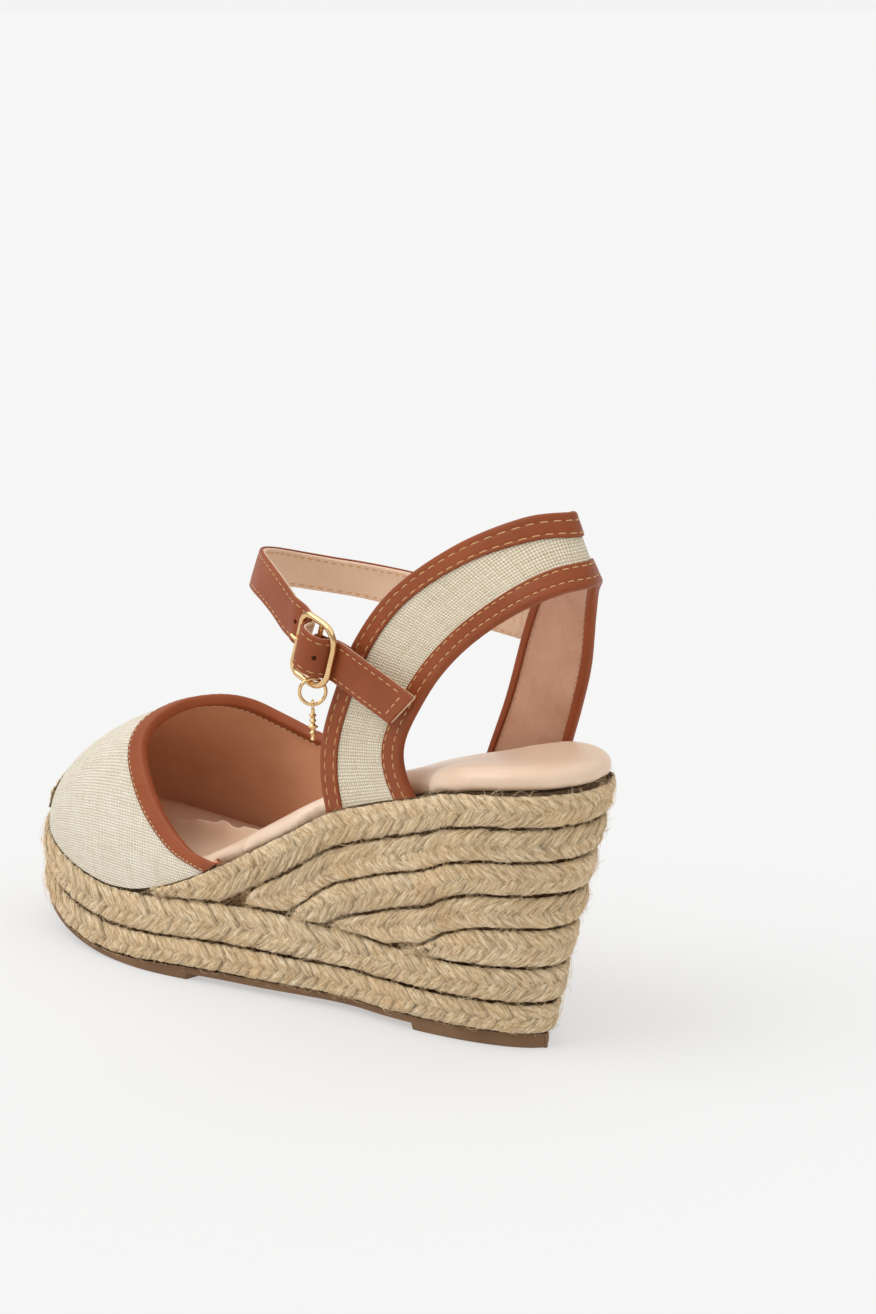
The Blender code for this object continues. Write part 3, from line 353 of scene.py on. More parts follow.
class Build:
    """Collects swept pieces in shoe coordinates into one mesh object."""

    def __init__(self):
        self.points, self.faces, self.uv, self.tone, self.count = [], [], [], [], 0

    def add(self, rings, closed=False, caps=True, uv=None, tone=0.5):
        """rings has the shape (batch, rings, points around, 3)."""
        batch, count, size = rings.shape[:3]
        flat = rings.reshape(-1, 3)
        faces = faces_of(batch, count, size, closed, caps)
        self.faces += [[i + self.count for i in f] for f in faces] if self.count else faces
        self.points.append(flat)
        if uv is None:
            uv = np.zeros((batch, count, size, 2))
        self.uv.append(np.broadcast_to(uv, (batch, count, size, 2)).reshape(-1, 2))
        self.tone.append(np.broadcast_to(tone, (batch, count, size)).reshape(-1))
        self.count += len(flat)

    def make(self, name, material, body, replaces=(), angle=50):
        points = place(np.concatenate(self.points))
        mesh = bpy.data.meshes.new(name)
        mesh.from_pydata(points.tolist(), [], self.faces)
        if mesh.validate():
            mesh.update()
        loops = np.zeros(len(mesh.loops), int)
        mesh.loops.foreach_get("vertex_index", loops)
        layer = mesh.uv_layers.new(name="UVMap")
        layer.data.foreach_set("uv", np.concatenate(self.uv)[loops].astype(np.float32).ravel())
        tone = mesh.attributes.new("tone", "FLOAT", "POINT")
        tone.data.foreach_set("value", np.concatenate(self.tone).astype(np.float32))
        work = bmesh.new()
        work.from_mesh(mesh)
        bmesh.ops.recalc_face_normals(work, faces=work.faces)
        work.to_mesh(mesh)
        work.free()
        mesh.shade_smooth()
        mesh.set_sharp_from_angle(angle=math.radians(angle))
        mesh.materials.append(material)
        piece = bpy.data.objects.new(name, mesh)
        bpy.context.scene.collection.objects.link(piece)
        return settle(piece, body, replaces)


def apply_modifiers(piece):
    bpy.context.view_layer.update()
    mesh = bpy.data.meshes.new_from_object(piece.evaluated_get(bpy.context.evaluated_depsgraph_get()))
    piece.modifiers.clear()
    piece.data = mesh


def settle(piece, body, replaces=()):
    if replaces:
        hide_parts(*replaces)
    if body:
        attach(piece, body)
    return piece


def sweep(path, radius, sides, closed=False, squash=1.0, turn=0.0, reference=(0.2, 0.9, 0.4)):
    """Rings round a path, with a radius per point. Shape (rings, sides, 3)."""
    path = np.asarray(path, float)
    along = unit(np.roll(path, -1, 0) - np.roll(path, 1, 0)) if closed else unit(np.gradient(path, axis=0))
    hold = np.cross(along[0], reference)
    firsts = []
    for a in along:
        hold = unit(hold - a * np.dot(hold, a))
        firsts.append(hold)
    first = np.array(firsts)
    second = np.cross(along, first)
    phi = np.arange(sides) / sides * 2 * math.pi + turn
    radius = np.broadcast_to(radius, len(path))[:, None, None]
    return (path[:, None] + radius * (first[:, None] * np.cos(phi)[None, :, None]
                                      + squash * second[:, None] * np.sin(phi)[None, :, None]))


def round_rings(paths, reference, size, sides):
    """Round rings square to a batch of paths, turned by a reference direction."""
    along = unit(np.gradient(paths, axis=1))
    first = unit(np.cross(along, reference))
    second = np.cross(along, first)
    phi = (np.arange(sides) / sides * 2 * math.pi)[None, None, :, None]
    return paths[:, :, None] + size * (first[:, :, None] * np.cos(phi) + second[:, :, None] * np.sin(phi))


# ---- materials ------------------------------------------------------------------------------------------
class Shader:
    """A Principled material with short calls for the nodes that feed it."""

    def __init__(self, name, **sockets):
        self.material = bpy.data.materials.new(name)
        self.material.use_nodes = True
        self.tree = self.material.node_tree
        self.main = self.tree.nodes["Principled BSDF"]
        for key, value in sockets.items():
            self.main.inputs[key.replace("_", " ")].default_value = value

    def put(self, node, index, value):
        socket = node.inputs[index]
        if isinstance(value, bpy.types.NodeSocket):
            self.tree.links.new(value, socket)
        elif value is not None:
            socket.default_value = value

    def node(self, kind, inputs, output=0, **settings):
        node = self.tree.nodes.new(kind)
        for key, value in settings.items():
            setattr(node, key, value)
        for index, value in inputs.items():
            self.put(node, index, value)
        return node.outputs[output]

    def math(self, operation, a, b=0.5, c=None):
        return self.node("ShaderNodeMath", {0: a, 1: b, 2: c} if c is not None else {0: a, 1: b},
                         operation=operation)

    def uv(self, scale=(1.0, 1.0)):
        return self.vector(self.node("ShaderNodeUVMap", {}, uv_map="UVMap"), scale)

    def place(self, scale=1000.0):
        return self.vector(self.node("ShaderNodeTexCoord", {}, output="Object"), (scale, scale, scale))

    def vector(self, source, scale):
        scale = tuple(scale) + (1.0,) * (3 - len(scale))
        return self.node("ShaderNodeVectorMath", {0: source, 1: scale}, operation="MULTIPLY")

    def split(self, vector):
        node = self.tree.nodes.new("ShaderNodeSeparateXYZ")
        self.put(node, 0, vector)
        return node.outputs

    def noise(self, vector, scale, detail=3.0, rough=0.6):
        return self.node("ShaderNodeTexNoise", {"Vector": vector, "Scale": scale, "Detail": detail,
                                                "Roughness": rough})

    def tone(self):
        return self.node("ShaderNodeAttribute", {}, output="Fac", attribute_name="tone")

    def ramp(self, factor, stops):
        node = self.tree.nodes.new("ShaderNodeValToRGB")
        while len(node.color_ramp.elements) < len(stops):
            node.color_ramp.elements.new(0.5)
        for element, (position, colour) in zip(node.color_ramp.elements, stops):
            element.position = position
            element.color = (*colour, 1.0)
        self.put(node, 0, factor)
        return node.outputs[0]

    def mix(self, factor, a, b, blend="MIX"):
        node = self.tree.nodes.new("ShaderNodeMix")
        node.data_type = "RGBA"
        node.blend_type = blend
        for index, value in ((0, factor), (6, a), (7, b)):
            self.put(node, index, (*value, 1.0) if isinstance(value, tuple) and len(value) == 3 else value)
        return node.outputs[2]

    def range(self, value, low, high, out_low=0.0, out_high=1.0):
        return self.node("ShaderNodeMapRange", {0: value, 1: low, 2: high, 3: out_low, 4: out_high})

    def bump(self, height, strength, distance=0.001, below=None):
        return self.node("ShaderNodeBump", {"Strength": strength, "Distance": distance, "Height": height,
                                            "Normal": below})

    def colour(self, socket):
        self.put(self.main, "Base Color", socket)

    def tint(self, value, low, high, first, second):
        """Colour that runs from first to second as value runs from low to high."""
        self.colour(self.mix(self.range(value, low, high), first, second))

    def rough(self, socket):
        self.put(self.main, "Roughness", socket)

    def normal(self, socket):
        self.put(self.main, "Normal", socket)


def srgb(r, g, b):
    """Screen values from 0 to 255 to linear colour."""
    return tuple(((c / 255 + 0.055) / 1.055) ** 2.4 if c > 10.31 else c / 255 / 12.92 for c in (r, g, b))


def jute_material(name, light=1.0, across=1.0):
    """Straw fibres along the bundle, with the dye and dirt of raw jute, times painted shade and light from
    the tone attribute (darker gaps, lighter tops), scaled by light.
    """
    m = Shader(name, Roughness=0.85, Specular_IOR_Level=0.2, Sheen_Weight=0.1, Sheen_Roughness=0.6)
    strand = m.noise(m.uv((0.2, 2.2 * across)), 1.0, 3.0, 0.65)
    fibre = m.noise(m.uv((0.4, 6.5 * across)), 1.0, 4.0, 0.7)
    lines = m.math("MULTIPLY_ADD", strand, 0.6, m.math("MULTIPLY", fibre, 0.4))
    patch = m.noise(m.place(), 0.05, 3.0)
    spots = m.noise(m.place(), 0.13, 3.0)
    straw = m.ramp(lines, [(0.33, srgb(126, 92, 58)), (0.42, srgb(184, 154, 114)),
                           (0.50, srgb(215, 190, 152)), (0.57, srgb(234, 214, 180)),
                           (0.68, srgb(252, 243, 220))])
    warm = m.mix(m.range(patch, 0.4, 0.7, 0.0, 0.35), straw, srgb(200, 164, 112))
    warm = m.mix(m.range(spots, 0.66, 0.78, 0.0, 0.55), warm, srgb(150, 94, 56))
    # Painted shade and light: the tone attribute scales the straw colour from 0.40 to 1.26 times light.
    shade = m.range(m.tone(), 0.0, 1.0, 0.40 * light, 1.26 * light)
    grey = m.node("ShaderNodeCombineColor", {0: shade, 1: shade, 2: shade})
    m.colour(m.mix(1.0, warm, grey, "MULTIPLY"))
    m.normal(m.bump(fibre, 0.8, 0.0006, m.bump(strand, 1.0, 0.0012)))
    return m.material


def canvas_material(name, pitch, pale=0):
    """Plain weave: thick threads that pass over and under each other."""
    m = Shader(name, Roughness=0.92, Specular_IOR_Level=0.2, Sheen_Weight=0.2, Sheen_Roughness=0.5)
    uv = m.uv((1.0 / pitch, 1.0 / pitch))
    wobble = m.noise(uv, 0.35, 2.0)
    parts = m.split(uv)
    x = m.math("ADD", parts[0], m.math("MULTIPLY", wobble, 0.5))
    y = m.math("ADD", parts[1], m.math("MULTIPLY", wobble, 0.5))

    def thread(across, along):
        """Height of the threads that lie side by side along one direction."""
        body = m.math("POWER", m.math("ABSOLUTE", m.math("SINE", m.math("MULTIPLY", across, math.pi))), 0.55)
        flip = m.math("MULTIPLY", m.math("FLOOR", across), math.pi)
        wave = m.math("COSINE", m.math("ADD", m.math("MULTIPLY", along, math.pi), flip))
        return body, m.math("MULTIPLY_ADD", wave, 0.5, 0.5)
    warp, warp_wave = thread(x, m.math("ADD", y, 0.5))
    weft, weft_wave = thread(y, m.math("ADD", x, -0.5))
    warp_high = m.math("MULTIPLY", warp, warp_wave)
    weft_high = m.math("MULTIPLY", weft, weft_wave)
    height = m.math("MAXIMUM", warp_high, weft_high)
    slub_a = m.noise(m.vector(uv, (0.9, 0.06)), 1.0, 2.0)
    slub_b = m.noise(m.vector(uv, (0.06, 0.9)), 1.0, 2.0)
    over = m.math("GREATER_THAN", warp_high, weft_high)
    under = m.math("SUBTRACT", 1.0, over)
    slub = m.math("ADD", m.math("MULTIPLY", over, slub_a), m.math("MULTIPLY", under, slub_b))
    cream = m.ramp(slub, [(at, srgb(r + pale / 4, g + pale / 2, b + pale)) for at, r, g, b in (
        (0.30, 217, 203, 175), (0.48, 236, 225, 201), (0.70, 247, 239, 220))])
    # Painted shade: the low parts of the weave, between the threads, are mixed towards dark brown srgb(166,
    # 142, 102).
    depth = m.range(height, 0.2, 0.85)
    m.colour(m.mix(depth, m.mix(0.85, cream, srgb(166, 142, 102)), cream))
    fuzz = m.noise(uv, 3.0, 3.0)
    m.normal(m.bump(height, 0.75, 0.0004 * pitch, m.bump(fuzz, 0.25, 0.0003)))
    return m.material


def leather_material(name, base, dark, rough=0.46, grain=2.2, strength=0.18, coat=0.0, cloud=0.03):
    """Smooth finished leather: fine grain, soft clouding, darker and duller towards cut edges."""
    m = Shader(name, Specular_IOR_Level=0.22, Coat_Weight=coat, Coat_Roughness=0.35)
    at = m.place()
    clouds = m.noise(at, cloud, 3.0)
    pores = m.node("ShaderNodeTexVoronoi", {"Vector": at, "Scale": grain}, feature="DISTANCE_TO_EDGE")
    fine = m.noise(at, grain * 1.6, 3.0)
    base_mix = m.mix(m.range(clouds, 0.35, 0.68, 0.0, 0.6), base, dark)
    worn = m.range(m.tone(), 0.0, 0.5, 0.75, 0.0)
    m.colour(m.mix(worn, base_mix, dark))
    m.rough(m.range(fine, 0.3, 0.7, rough - 0.07, rough + 0.10))
    pits = m.math("MULTIPLY", m.math("MINIMUM", pores, 0.18), 2.0)
    grain_height = m.math("ADD", pits, m.math("MULTIPLY", fine, 0.5))
    m.normal(m.bump(grain_height, strength, 0.0003, m.bump(clouds, 0.08, 0.002)))
    return m.material


def suede_material(name, base, dark):
    m = Shader(name, Roughness=0.9, Specular_IOR_Level=0.2, Sheen_Weight=0.5, Sheen_Roughness=0.45)
    at = m.place()
    nap = m.noise(at, 1.6, 4.0, 0.7)
    brushed = m.noise(at, 0.06, 3.0)
    soft = m.math("ADD", m.math("MULTIPLY", nap, 0.5), m.math("MULTIPLY", brushed, 0.8))
    m.tint(soft, 0.4, 0.9, dark, base)
    m.normal(m.bump(nap, 0.35, 0.0003))
    return m.material


def footbed_material():
    m = Shader("footbed_leather", Specular_IOR_Level=0.5, Coat_Weight=0.18, Coat_Roughness=0.3,
               Subsurface_Weight=0.08, Subsurface_Scale=0.004)
    at = m.place()
    clouds = m.noise(at, 0.02, 3.0)
    grain = m.node("ShaderNodeTexVoronoi", {"Vector": at, "Scale": 1.5}, feature="DISTANCE_TO_EDGE")
    creases = m.noise(m.vector(at, (1.0, 0.35, 1.0)), 0.09, 4.0, 0.55)
    m.tint(clouds, 0.35, 0.7, srgb(236, 210, 184), srgb(227, 196, 167))
    m.rough(m.range(creases, 0.35, 0.65, 0.34, 0.5))
    m.normal(m.bump(m.math("MINIMUM", grain, 0.2), 0.10, 0.0003, m.bump(creases, 0.18, 0.0012)))
    return m.material


def thread_material(name, light, dark):
    m = Shader(name, Roughness=0.6, Specular_IOR_Level=0.35, Sheen_Weight=0.2)
    uv = m.uv((1.0, 1.0))
    parts = m.split(uv)
    twist = m.math("SINE", m.math("MULTIPLY", m.math("ADD", parts[0], parts[1]), 12.0))
    # Painted shade: the colour follows the twist's height, with the dark colour in its hollows and the light
    # colour on its ridges.
    m.tint(twist, -1.0, 1.0, dark, light)
    m.normal(m.bump(twist, 0.5, 0.0002))
    return m.material


def gold_material():
    m = Shader("gold", Metallic=1.0, Specular_IOR_Level=0.5)
    at = m.place()
    wear = m.noise(at, 0.4, 4.0)
    fine = m.noise(at, 5.0, 2.0)
    m.tint(wear, 0.3, 0.7, srgb(238, 204, 152), srgb(222, 182, 126))
    m.rough(m.range(wear, 0.35, 0.75, 0.08, 0.18))
    m.normal(m.bump(fine, 0.03, 0.0002))
    return m.material


def rubber_material():
    m = Shader("outsole_rubber", Specular_IOR_Level=0.35)
    at = m.place()
    speck = m.noise(at, 1.8, 4.0, 0.7)
    clouds = m.noise(at, 0.03, 3.0)
    m.tint(clouds, 0.35, 0.7, srgb(134, 101, 70), srgb(112, 81, 54))
    m.rough(m.range(speck, 0.3, 0.7, 0.5, 0.72))
    m.normal(m.bump(speck, 0.22, 0.0004))
    return m.material


def plain_material(name, light, dark, scale, rough=0.9, strength=0.4):
    """Cork, board, felt and foam, which lie inside."""
    m = Shader(name, Specular_IOR_Level=0.2)
    at = m.place()
    grains = m.node("ShaderNodeTexVoronoi", {"Vector": at, "Scale": scale})
    fine = m.noise(at, scale * 3, 3.0)
    m.tint(m.math("ADD", grains, fine), 0.5, 1.3, dark, light)
    m.rough(m.range(fine, 0.3, 0.7, rough - 0.1, rough))
    m.normal(m.bump(grains, strength, 0.0005))
    return m.material


MAT = {
    "jute": jute_material("jute_plait"),
    "fuzz": jute_material("jute_fibre", 1.15, 0.3),
    "band_canvas": canvas_material("band_canvas", 1.08),
    "vamp_canvas": canvas_material("vamp_canvas", 0.92, 14),
    "tan": leather_material("tan_leather", srgb(150, 77, 42), srgb(126, 60, 31)),
    "tan_edge": leather_material("tan_edge", srgb(130, 66, 38), srgb(104, 50, 28), 0.55),
    "vamp_lining": leather_material("vamp_lining", srgb(226, 172, 136), srgb(206, 146, 110),
                                    0.5, 1.2, 0.22, 0.05),
    "strap_lining": leather_material("strap_lining", srgb(232, 200, 172), srgb(216, 176, 144),
                                     0.5, 1.0, 0.3, 0.05),
    "suede": suede_material("suede_lining", srgb(210, 166, 138), srgb(184, 134, 106)),
    "footbed": footbed_material(),
    "thread": thread_material("stitching_thread", srgb(236, 190, 128), srgb(206, 148, 88)),
    "pale_thread": thread_material("pale_thread", srgb(238, 214, 176), srgb(200, 164, 118)),
    "gold": gold_material(),
    "rubber": rubber_material(),
    "cork": plain_material("pressed_cork", srgb(190, 150, 104), srgb(128, 92, 58), 0.5),
    "board": plain_material("fibre_board", srgb(168, 146, 116), srgb(130, 108, 82), 1.2),
    "felt": plain_material("felt_stiffener", srgb(206, 200, 186), srgb(176, 168, 152), 1.5),
    "foam": plain_material("open_foam", srgb(236, 226, 200), srgb(214, 200, 170), 1.0),
}


# ---- jute braids ----------------------------------------------------------------------------------------
def braid_patch(angles, low, high, closed):
    levels = np.linspace(-0.3, 1.3, 33)
    a, v = np.meshgrid(angles, levels, indexing="ij")
    bottom, top = low(angles)[:, None] + GAP / 2, high(angles)[:, None] - GAP / 2
    vc = np.clip(v, 0, 1)
    tall = top - bottom
    inset = BRAID_BULGE * (1 - np.sin(math.pi * vc) ** 0.8) + np.abs(v - vc) * np.maximum(tall, 6.0)
    return Patch(side_point(a, bottom + tall * vc, inset), levels, closed, -1.0)


def row_profile(v, tall):
    """How far the braid's rounded edges fall away at this share of its height."""
    near = np.minimum(v, 1 - v) * tall
    return -0.75 * np.clip(1 - near / 1.4, 0, 1) ** 1.6


def plait(build, patch, heading, pitch=BRAID_PITCH, first=0.0, last=None):
    """Two columns of fibre bundles that slant in from both edges and tuck under each other in the middle."""
    last = patch.length if last is None else last
    n = max(int(round((last - first) / pitch)), 3)
    pitch = (last - first) / n
    t = np.linspace(0, 1, 8)[None, :, None]
    phi = np.concatenate([np.linspace(0, math.pi, 11), math.pi + np.array([1.0, 2.1])])[None, None, :]
    one = (slice(None), None, None)
    for half in (0, 1):
        start = first + (np.arange(n) + 0.25 + 0.5 * half) * pitch + RNG.normal(0, 0.11 * pitch, n)
        tall = patch.width(start)[one]
        share = np.minimum(tall / 9.0, 1.0)
        edge_v, end_v = 1.0 + 0.4 / tall, BUNDLE_END + RNG.normal(0, 0.03, n)[one]
        turn = (BUNDLE_TURN + RNG.normal(0, 0.12, n))[one]
        v = edge_v + (end_v - edge_v) * t
        across_mm = (end_v - edge_v) * tall
        run = -across_mm * turn * heading
        if half:
            v, across_mm = 1 - v, -across_mm
        s = start[one] + run * (t - 0.5) + 0.12 * np.abs(run) * np.sin(math.pi * t) * heading
        size = np.sqrt(run ** 2 + across_mm ** 2)
        side_s, side_v = -across_mm / size, run / size
        wide = pitch * BUNDLE_WIDTH * (1 + RNG.normal(0, 0.08, n))[one] * (0.6 + 0.4 * share)
        wide = wide * (0.80 + 0.20 * np.sin(math.pi * np.clip(t, 0, 1)))
        thick = (BUNDLE_THICKNESS + RNG.normal(0, 0.09, n))[one] * (0.5 + 0.5 * share)
        phase = RNG.uniform(0, 6.28, n)[one]
        ridge = 0.05 * np.cos(6.0 * phi + phase + 1.2 * t) + 0.03 * np.cos(11.0 * phi + 2 * phase - 2.0 * t)
        c = wide * np.cos(phi)
        up = thick * (np.sign(np.sin(phi)) * np.abs(np.sin(phi)) ** 0.7 + ridge * (np.sin(phi) > 0))
        loose = np.clip(0.6 + RNG.normal(0, 0.3, n), 0.1, 1.3)[one]
        side_v = np.clip(v + side_v * c / tall, -loose / tall, 1 + loose / tall)
        tuck = TUCK_DEPTH * np.clip((t - 0.55) / 0.45, 0, 1) ** 1.5
        rounded = row_profile(np.clip(side_v, 0, 1), tall)
        height = BUNDLE_SINK - tuck * share + rounded + RNG.normal(0, 0.12, n)[one]
        shingle = SHINGLE * c * heading * (1 if half else -1)
        rings = patch.at(s + side_s * c, side_v, height + up + shingle)
        along = RNG.uniform(0, 400, n)[one]
        uv = pairs(along + t * size, (phi / math.pi) * pitch * 0.8 + 7 * phase)
        # Painted shade and light in tone: bundle tops lighter, sides and undersides darker, tucked ends and
        # the strip along each row's edges darker.
        groove = np.clip(0.08 + 1.0 * np.sin(phi), 0, 1) ** 0.75
        seam_shade = np.clip(np.minimum(side_v, 1 - side_v) * tall / 0.5, 0, 1)
        tone = (0.15 + 0.85 * groove) * (1 - 0.45 * np.clip(tuck, 0, 1)) * (0.62 + 0.38 * seam_shade)
        build.add(rings, uv=uv, tone=np.clip(tone + RNG.normal(0, 0.09, n)[one], 0, 1))


def backing(build, patch, depth=1.7, shelf=5.0):
    """The body of the braid, under its bundles."""
    count = max(int(patch.length / 3.0), 8)
    s = np.linspace(0, patch.length, count + 1)
    if patch.closed:
        s = s[:-1]
    v = np.concatenate([[0.0], np.linspace(0, 1, 11), [1.0]])
    n = np.concatenate([[-depth - shelf], np.full(11, -depth), [-depth - shelf]])
    rings = patch.at(s[:, None], v[None], n[None])[None]
    uv = pairs(s[:, None], v[None] * 20)[None]
    # tone 0.6 puts the braid body at a middle level of the jute's painted shade, darker than the bundle tops.
    build.add(rings, closed=patch.closed, uv=uv, tone=0.6)


def make_braids():
    patches = {}
    turn = np.linspace(-math.pi, math.pi, 721)
    for row, name in enumerate(("platform_braid_lower", "platform_braid_upper")):
        patch = braid_patch(turn[:-1], lambda a, r=row: platform_seam(r, a),
                            lambda a, r=row: platform_seam(r + 1, a), True)
        patches[name] = (patch, -1)
    for row in range(WEDGE_ROWS):
        ends = []
        for side in (1, -1):
            steps = 5
            while True:
                a = np.array([side * BRAID_STEP * (steps + 1)])
                if wedge_seam(row, a)[0] - wedge_seam(row + 1, a)[0] <= 1.6:
                    break
                steps += 1
            ends.append(steps)
        angles = np.linspace(-ends[1] * BRAID_STEP, ends[0] * BRAID_STEP, 14 * (ends[0] + ends[1]))
        patch = braid_patch(angles, lambda a, r=row: wedge_seam(r + 1, a),
                            lambda a, r=row: wedge_seam(r, a), False)
        patches[f"wedge_braid_{row + 1}"] = (patch, -1 if row % 2 == 0 else 1)
    for name, (patch, heading) in patches.items():
        build = Build()
        backing(build, patch)
        end = 0.0 if patch.closed else 1.5
        plait(build, patch, heading, first=end, last=patch.length - end)
        build.make("plait_" + name, MAT["jute"], "shoe", (name,))
    return patches


def make_fuzz(patches):
    """Loose fibres that stand off the braids."""
    build = Build()
    for name, (patch, heading) in patches.items():
        count = int(patch.length * FUZZ_PER_MM)
        s = RNG.uniform(0, patch.length, count)
        v = RNG.uniform(0.02, 0.98, count)
        length = RNG.gamma(3.0, 1.5, count) + 1.5
        direction = RNG.normal(0, 1, (count, 2))
        direction[:, 0] += heading * 0.6
        direction = unit(direction)
        rise = np.abs(RNG.normal(0.0, 0.9, count)) + 0.15
        t = np.linspace(0, 1, 6)[None]
        bend = RNG.normal(0, 0.5, (count, 1)) * t ** 2
        ds = (direction[:, :1] * t - direction[:, 1:] * bend) * length[:, None]
        dv = (direction[:, 1:] * t + direction[:, :1] * bend) * length[:, None]
        tall = np.maximum(patch.width(s), 4.0)[:, None]
        arc = np.sin(math.pi * t * RNG.uniform(0.45, 0.95, (count, 1)))
        n = rise[:, None] * arc + 0.35 - 0.5 * (t < 0.01)
        paths = patch.at(s[:, None] + ds, np.clip(v[:, None] + dv / tall, -0.2, 1.2), n)
        thin = (0.045 + 0.035 * RNG.random(count))[:, None, None, None] * (1.1 - 0.8 * t)[:, :, None, None]
        rings = round_rings(paths, np.array([0.3, 0.5, 0.81]), thin, 3)
        along_uv = RNG.uniform(0, 99, (count, 1, 1)) + t[:, :, None]
        uv = np.stack([np.broadcast_to(along_uv, rings.shape[:3])] * 2, -1)
        build.add(rings, uv=uv, tone=RNG.uniform(0.6, 1.0, (count, 1, 1)))
    build.make("jute_fuzz", MAT["fuzz"], "shoe", ())


# ---- sheets, bindings and stitches of the upper ---------------------------------------------------------
def wall_solid(patch, s, v, n):
    """Rings across a wall. v and n are arrays over (places along, points round the section)."""
    v, n = np.broadcast_arrays(v, n)
    rings = patch.at(s[:, None], v, n)
    floor = braid_top(np.clip(rings[..., 1], -HEEL_OVERHANG, BASE_LENGTH)) + 0.1
    rings[..., 2] = np.maximum(rings[..., 2], floor)
    return rings[None]


def sheet(name, patch, material, low, high, outer, inner, replaces, uv=None, count=220, steps=26):
    s = np.linspace(0, patch.length, count)
    v = np.linspace(low, high, steps)
    outer, inner = [x(v) if callable(x) else np.full(steps, x) for x in (outer, inner)]
    levels = np.concatenate([v, v[::-1]])
    rings = wall_solid(patch, s, levels[None], np.concatenate([outer, inner[::-1]])[None])
    if uv is None:
        uv = pairs(s[:, None], levels[None] * patch.width(s)[:, None])[None]
    else:
        uv = uv(rings)
    build = Build()
    build.add(rings, uv=uv)
    return build.make(name, material, "shoe", replaces, 60)


def binding(name, patch, at_top, outside, inside, out_reach, in_reach, replaces, rows, count=260):
    """A leather strip folded round an edge, sunk a little along its stitch rows."""
    s = np.linspace(0, patch.length, count)
    width = patch.width(s)[:, None]
    thick = BINDING_THICKNESS
    d = np.concatenate([[-out_reach, -out_reach + 0.05, -out_reach + 0.35],
                        np.linspace(-out_reach + 0.8, -0.2, 22), [0.35, 0.8, 1.08, 1.12, 1.08, 0.8, 0.35],
                        np.linspace(0.0, -in_reach + 0.3, 6),
                        [-in_reach, -in_reach, -in_reach + 0.5, 0.15, 0.15, -out_reach + 0.4]])
    top, low = outside + thick, inside - thick
    turned = [top - 0.08, top - 0.4, top - 1.0, (top + low) / 2, low + 1.0, low + 0.4, low + 0.08]
    n = np.concatenate([[outside, top - 0.3, top - 0.05], np.full(22, top), turned,
                        np.full(6, low), [low + 0.3, inside, inside, inside, outside, outside]])
    for row in rows:
        n[3:25] -= 0.22 * np.exp(-((d[3:25] + row) / 0.45) ** 2)
    v = d[None] / width
    v = 1 + v if at_top else -v
    pucker = 0.05 * np.sin(s * 1.7)[:, None] * ((n > outside + 0.3) & (d < 0.2))[None]
    rings = wall_solid(patch, s, v, n[None] + pucker)
    tone = np.ones(len(d))
    tone[:2] = 0.15
    tone[-6:] = 0.15
    build = Build()
    build.add(rings, uv=pairs(s[:, None], d[None])[None], tone=tone[None, None])
    return build.make(name, MAT["tan"], "shoe", replaces, 60)


def stitch_rows(build, patch, lines, pitch, length, radius=0.24, ends=2.0):
    """Stitches along lines, each a function of s that gives (share across, height)."""
    for line in lines:
        count = int((patch.length - 2 * ends) / pitch)
        s0 = ends + (np.arange(count) + 0.5) * pitch + RNG.normal(0, 0.05, count)
        t = np.linspace(0, 1, 6)
        s = s0[:, None] + (t[None] - 0.5) * length * (1 + RNG.normal(0, 0.04, (count, 1)))
        v, n = line(s)
        dip = 0.5 * (1 - np.sin(math.pi * t) ** 0.35)[None]
        sign = 1.0 if np.mean(n) >= -0.5 else -1.0
        paths = patch.at(s, v, n + sign * (radius * 0.55 - dip))
        outwards = patch.at(s, v, n + 1.0) - patch.at(s, v, n)
        size = radius * (0.65 + 0.35 * np.sin(math.pi * t))[None, :, None, None]
        rings = round_rings(paths, outwards, size, 6)
        uv = pairs(s[..., None], np.arange(6)[None, None] * 0.3)
        build.add(rings, uv=uv)


def share_line(share, height):
    """A line at a fixed share across a wall."""
    return lambda s: (np.full(s.shape, share), np.full(s.shape, height))


def edge_line(patch, at_top, inset, height):
    """A line at a distance from the upper or lower edge of a wall."""
    def line(s):
        share = inset / patch.width(s)
        return (1 - share if at_top else share), np.full(s.shape, height)
    return line


BAND = surface_patch(band_surface, 300, -0.14, 1.14, 33)
VAMP = surface_patch(vamp_surface, 300, 0.0, 1.2, 49, -1.0)
OUTER_FACE, BAND_INNER, BINDING_WIDTH, VAMP_BINDING, BINDING_THICKNESS = 0.1, -1.5, 7.4, 6.2, 0.75


def make_band():
    sheet("band_canvas", BAND, MAT["band_canvas"], 0.0, 1.0, 0.0, -0.7, ("quarter_canvas",))
    sheet("band_lining", BAND, MAT["suede"], 0.0, 1.0, -0.85, -1.45, ("quarter_lining",))
    rows = (1.9, BINDING_WIDTH - 1.3)
    build = Build()
    for name, at_top in (("quarter_binding_upper", True), ("quarter_binding_lower", False)):
        binding("leather_" + name, BAND, at_top, OUTER_FACE, BAND_INNER, BINDING_WIDTH, 2.2, (name,), rows)
        lines = [edge_line(BAND, at_top, row, OUTER_FACE + BINDING_THICKNESS - 0.2) for row in rows]
        stitch_rows(build, BAND, lines, 3.7, 2.9)
    build.make("band_stitching", MAT["thread"], "shoe", ())
    build = Build()
    for at_top in (True, False):
        stitch_rows(build, BAND, [edge_line(BAND, at_top, 3.1, -1.47)], 2.6, 1.6, 0.16)
    build.make("band_lining_stitching", MAT["pale_thread"], "shoe", ())


def vamp_lining_level(v):
    return -2.6 + 1.3 * smooth(0.5, 0.85, v)


def vamp_weave(rings):
    """Straight-grain weave: threads run round the foot and along it."""
    x, u, z = rings[..., 0], rings[..., 1], rings[..., 2]
    round_foot = np.arctan2(x - middle(u), np.maximum(z - 18.0, 1.0)) * 46.0
    return np.stack([round_foot, u - 0.42 * z], -1)


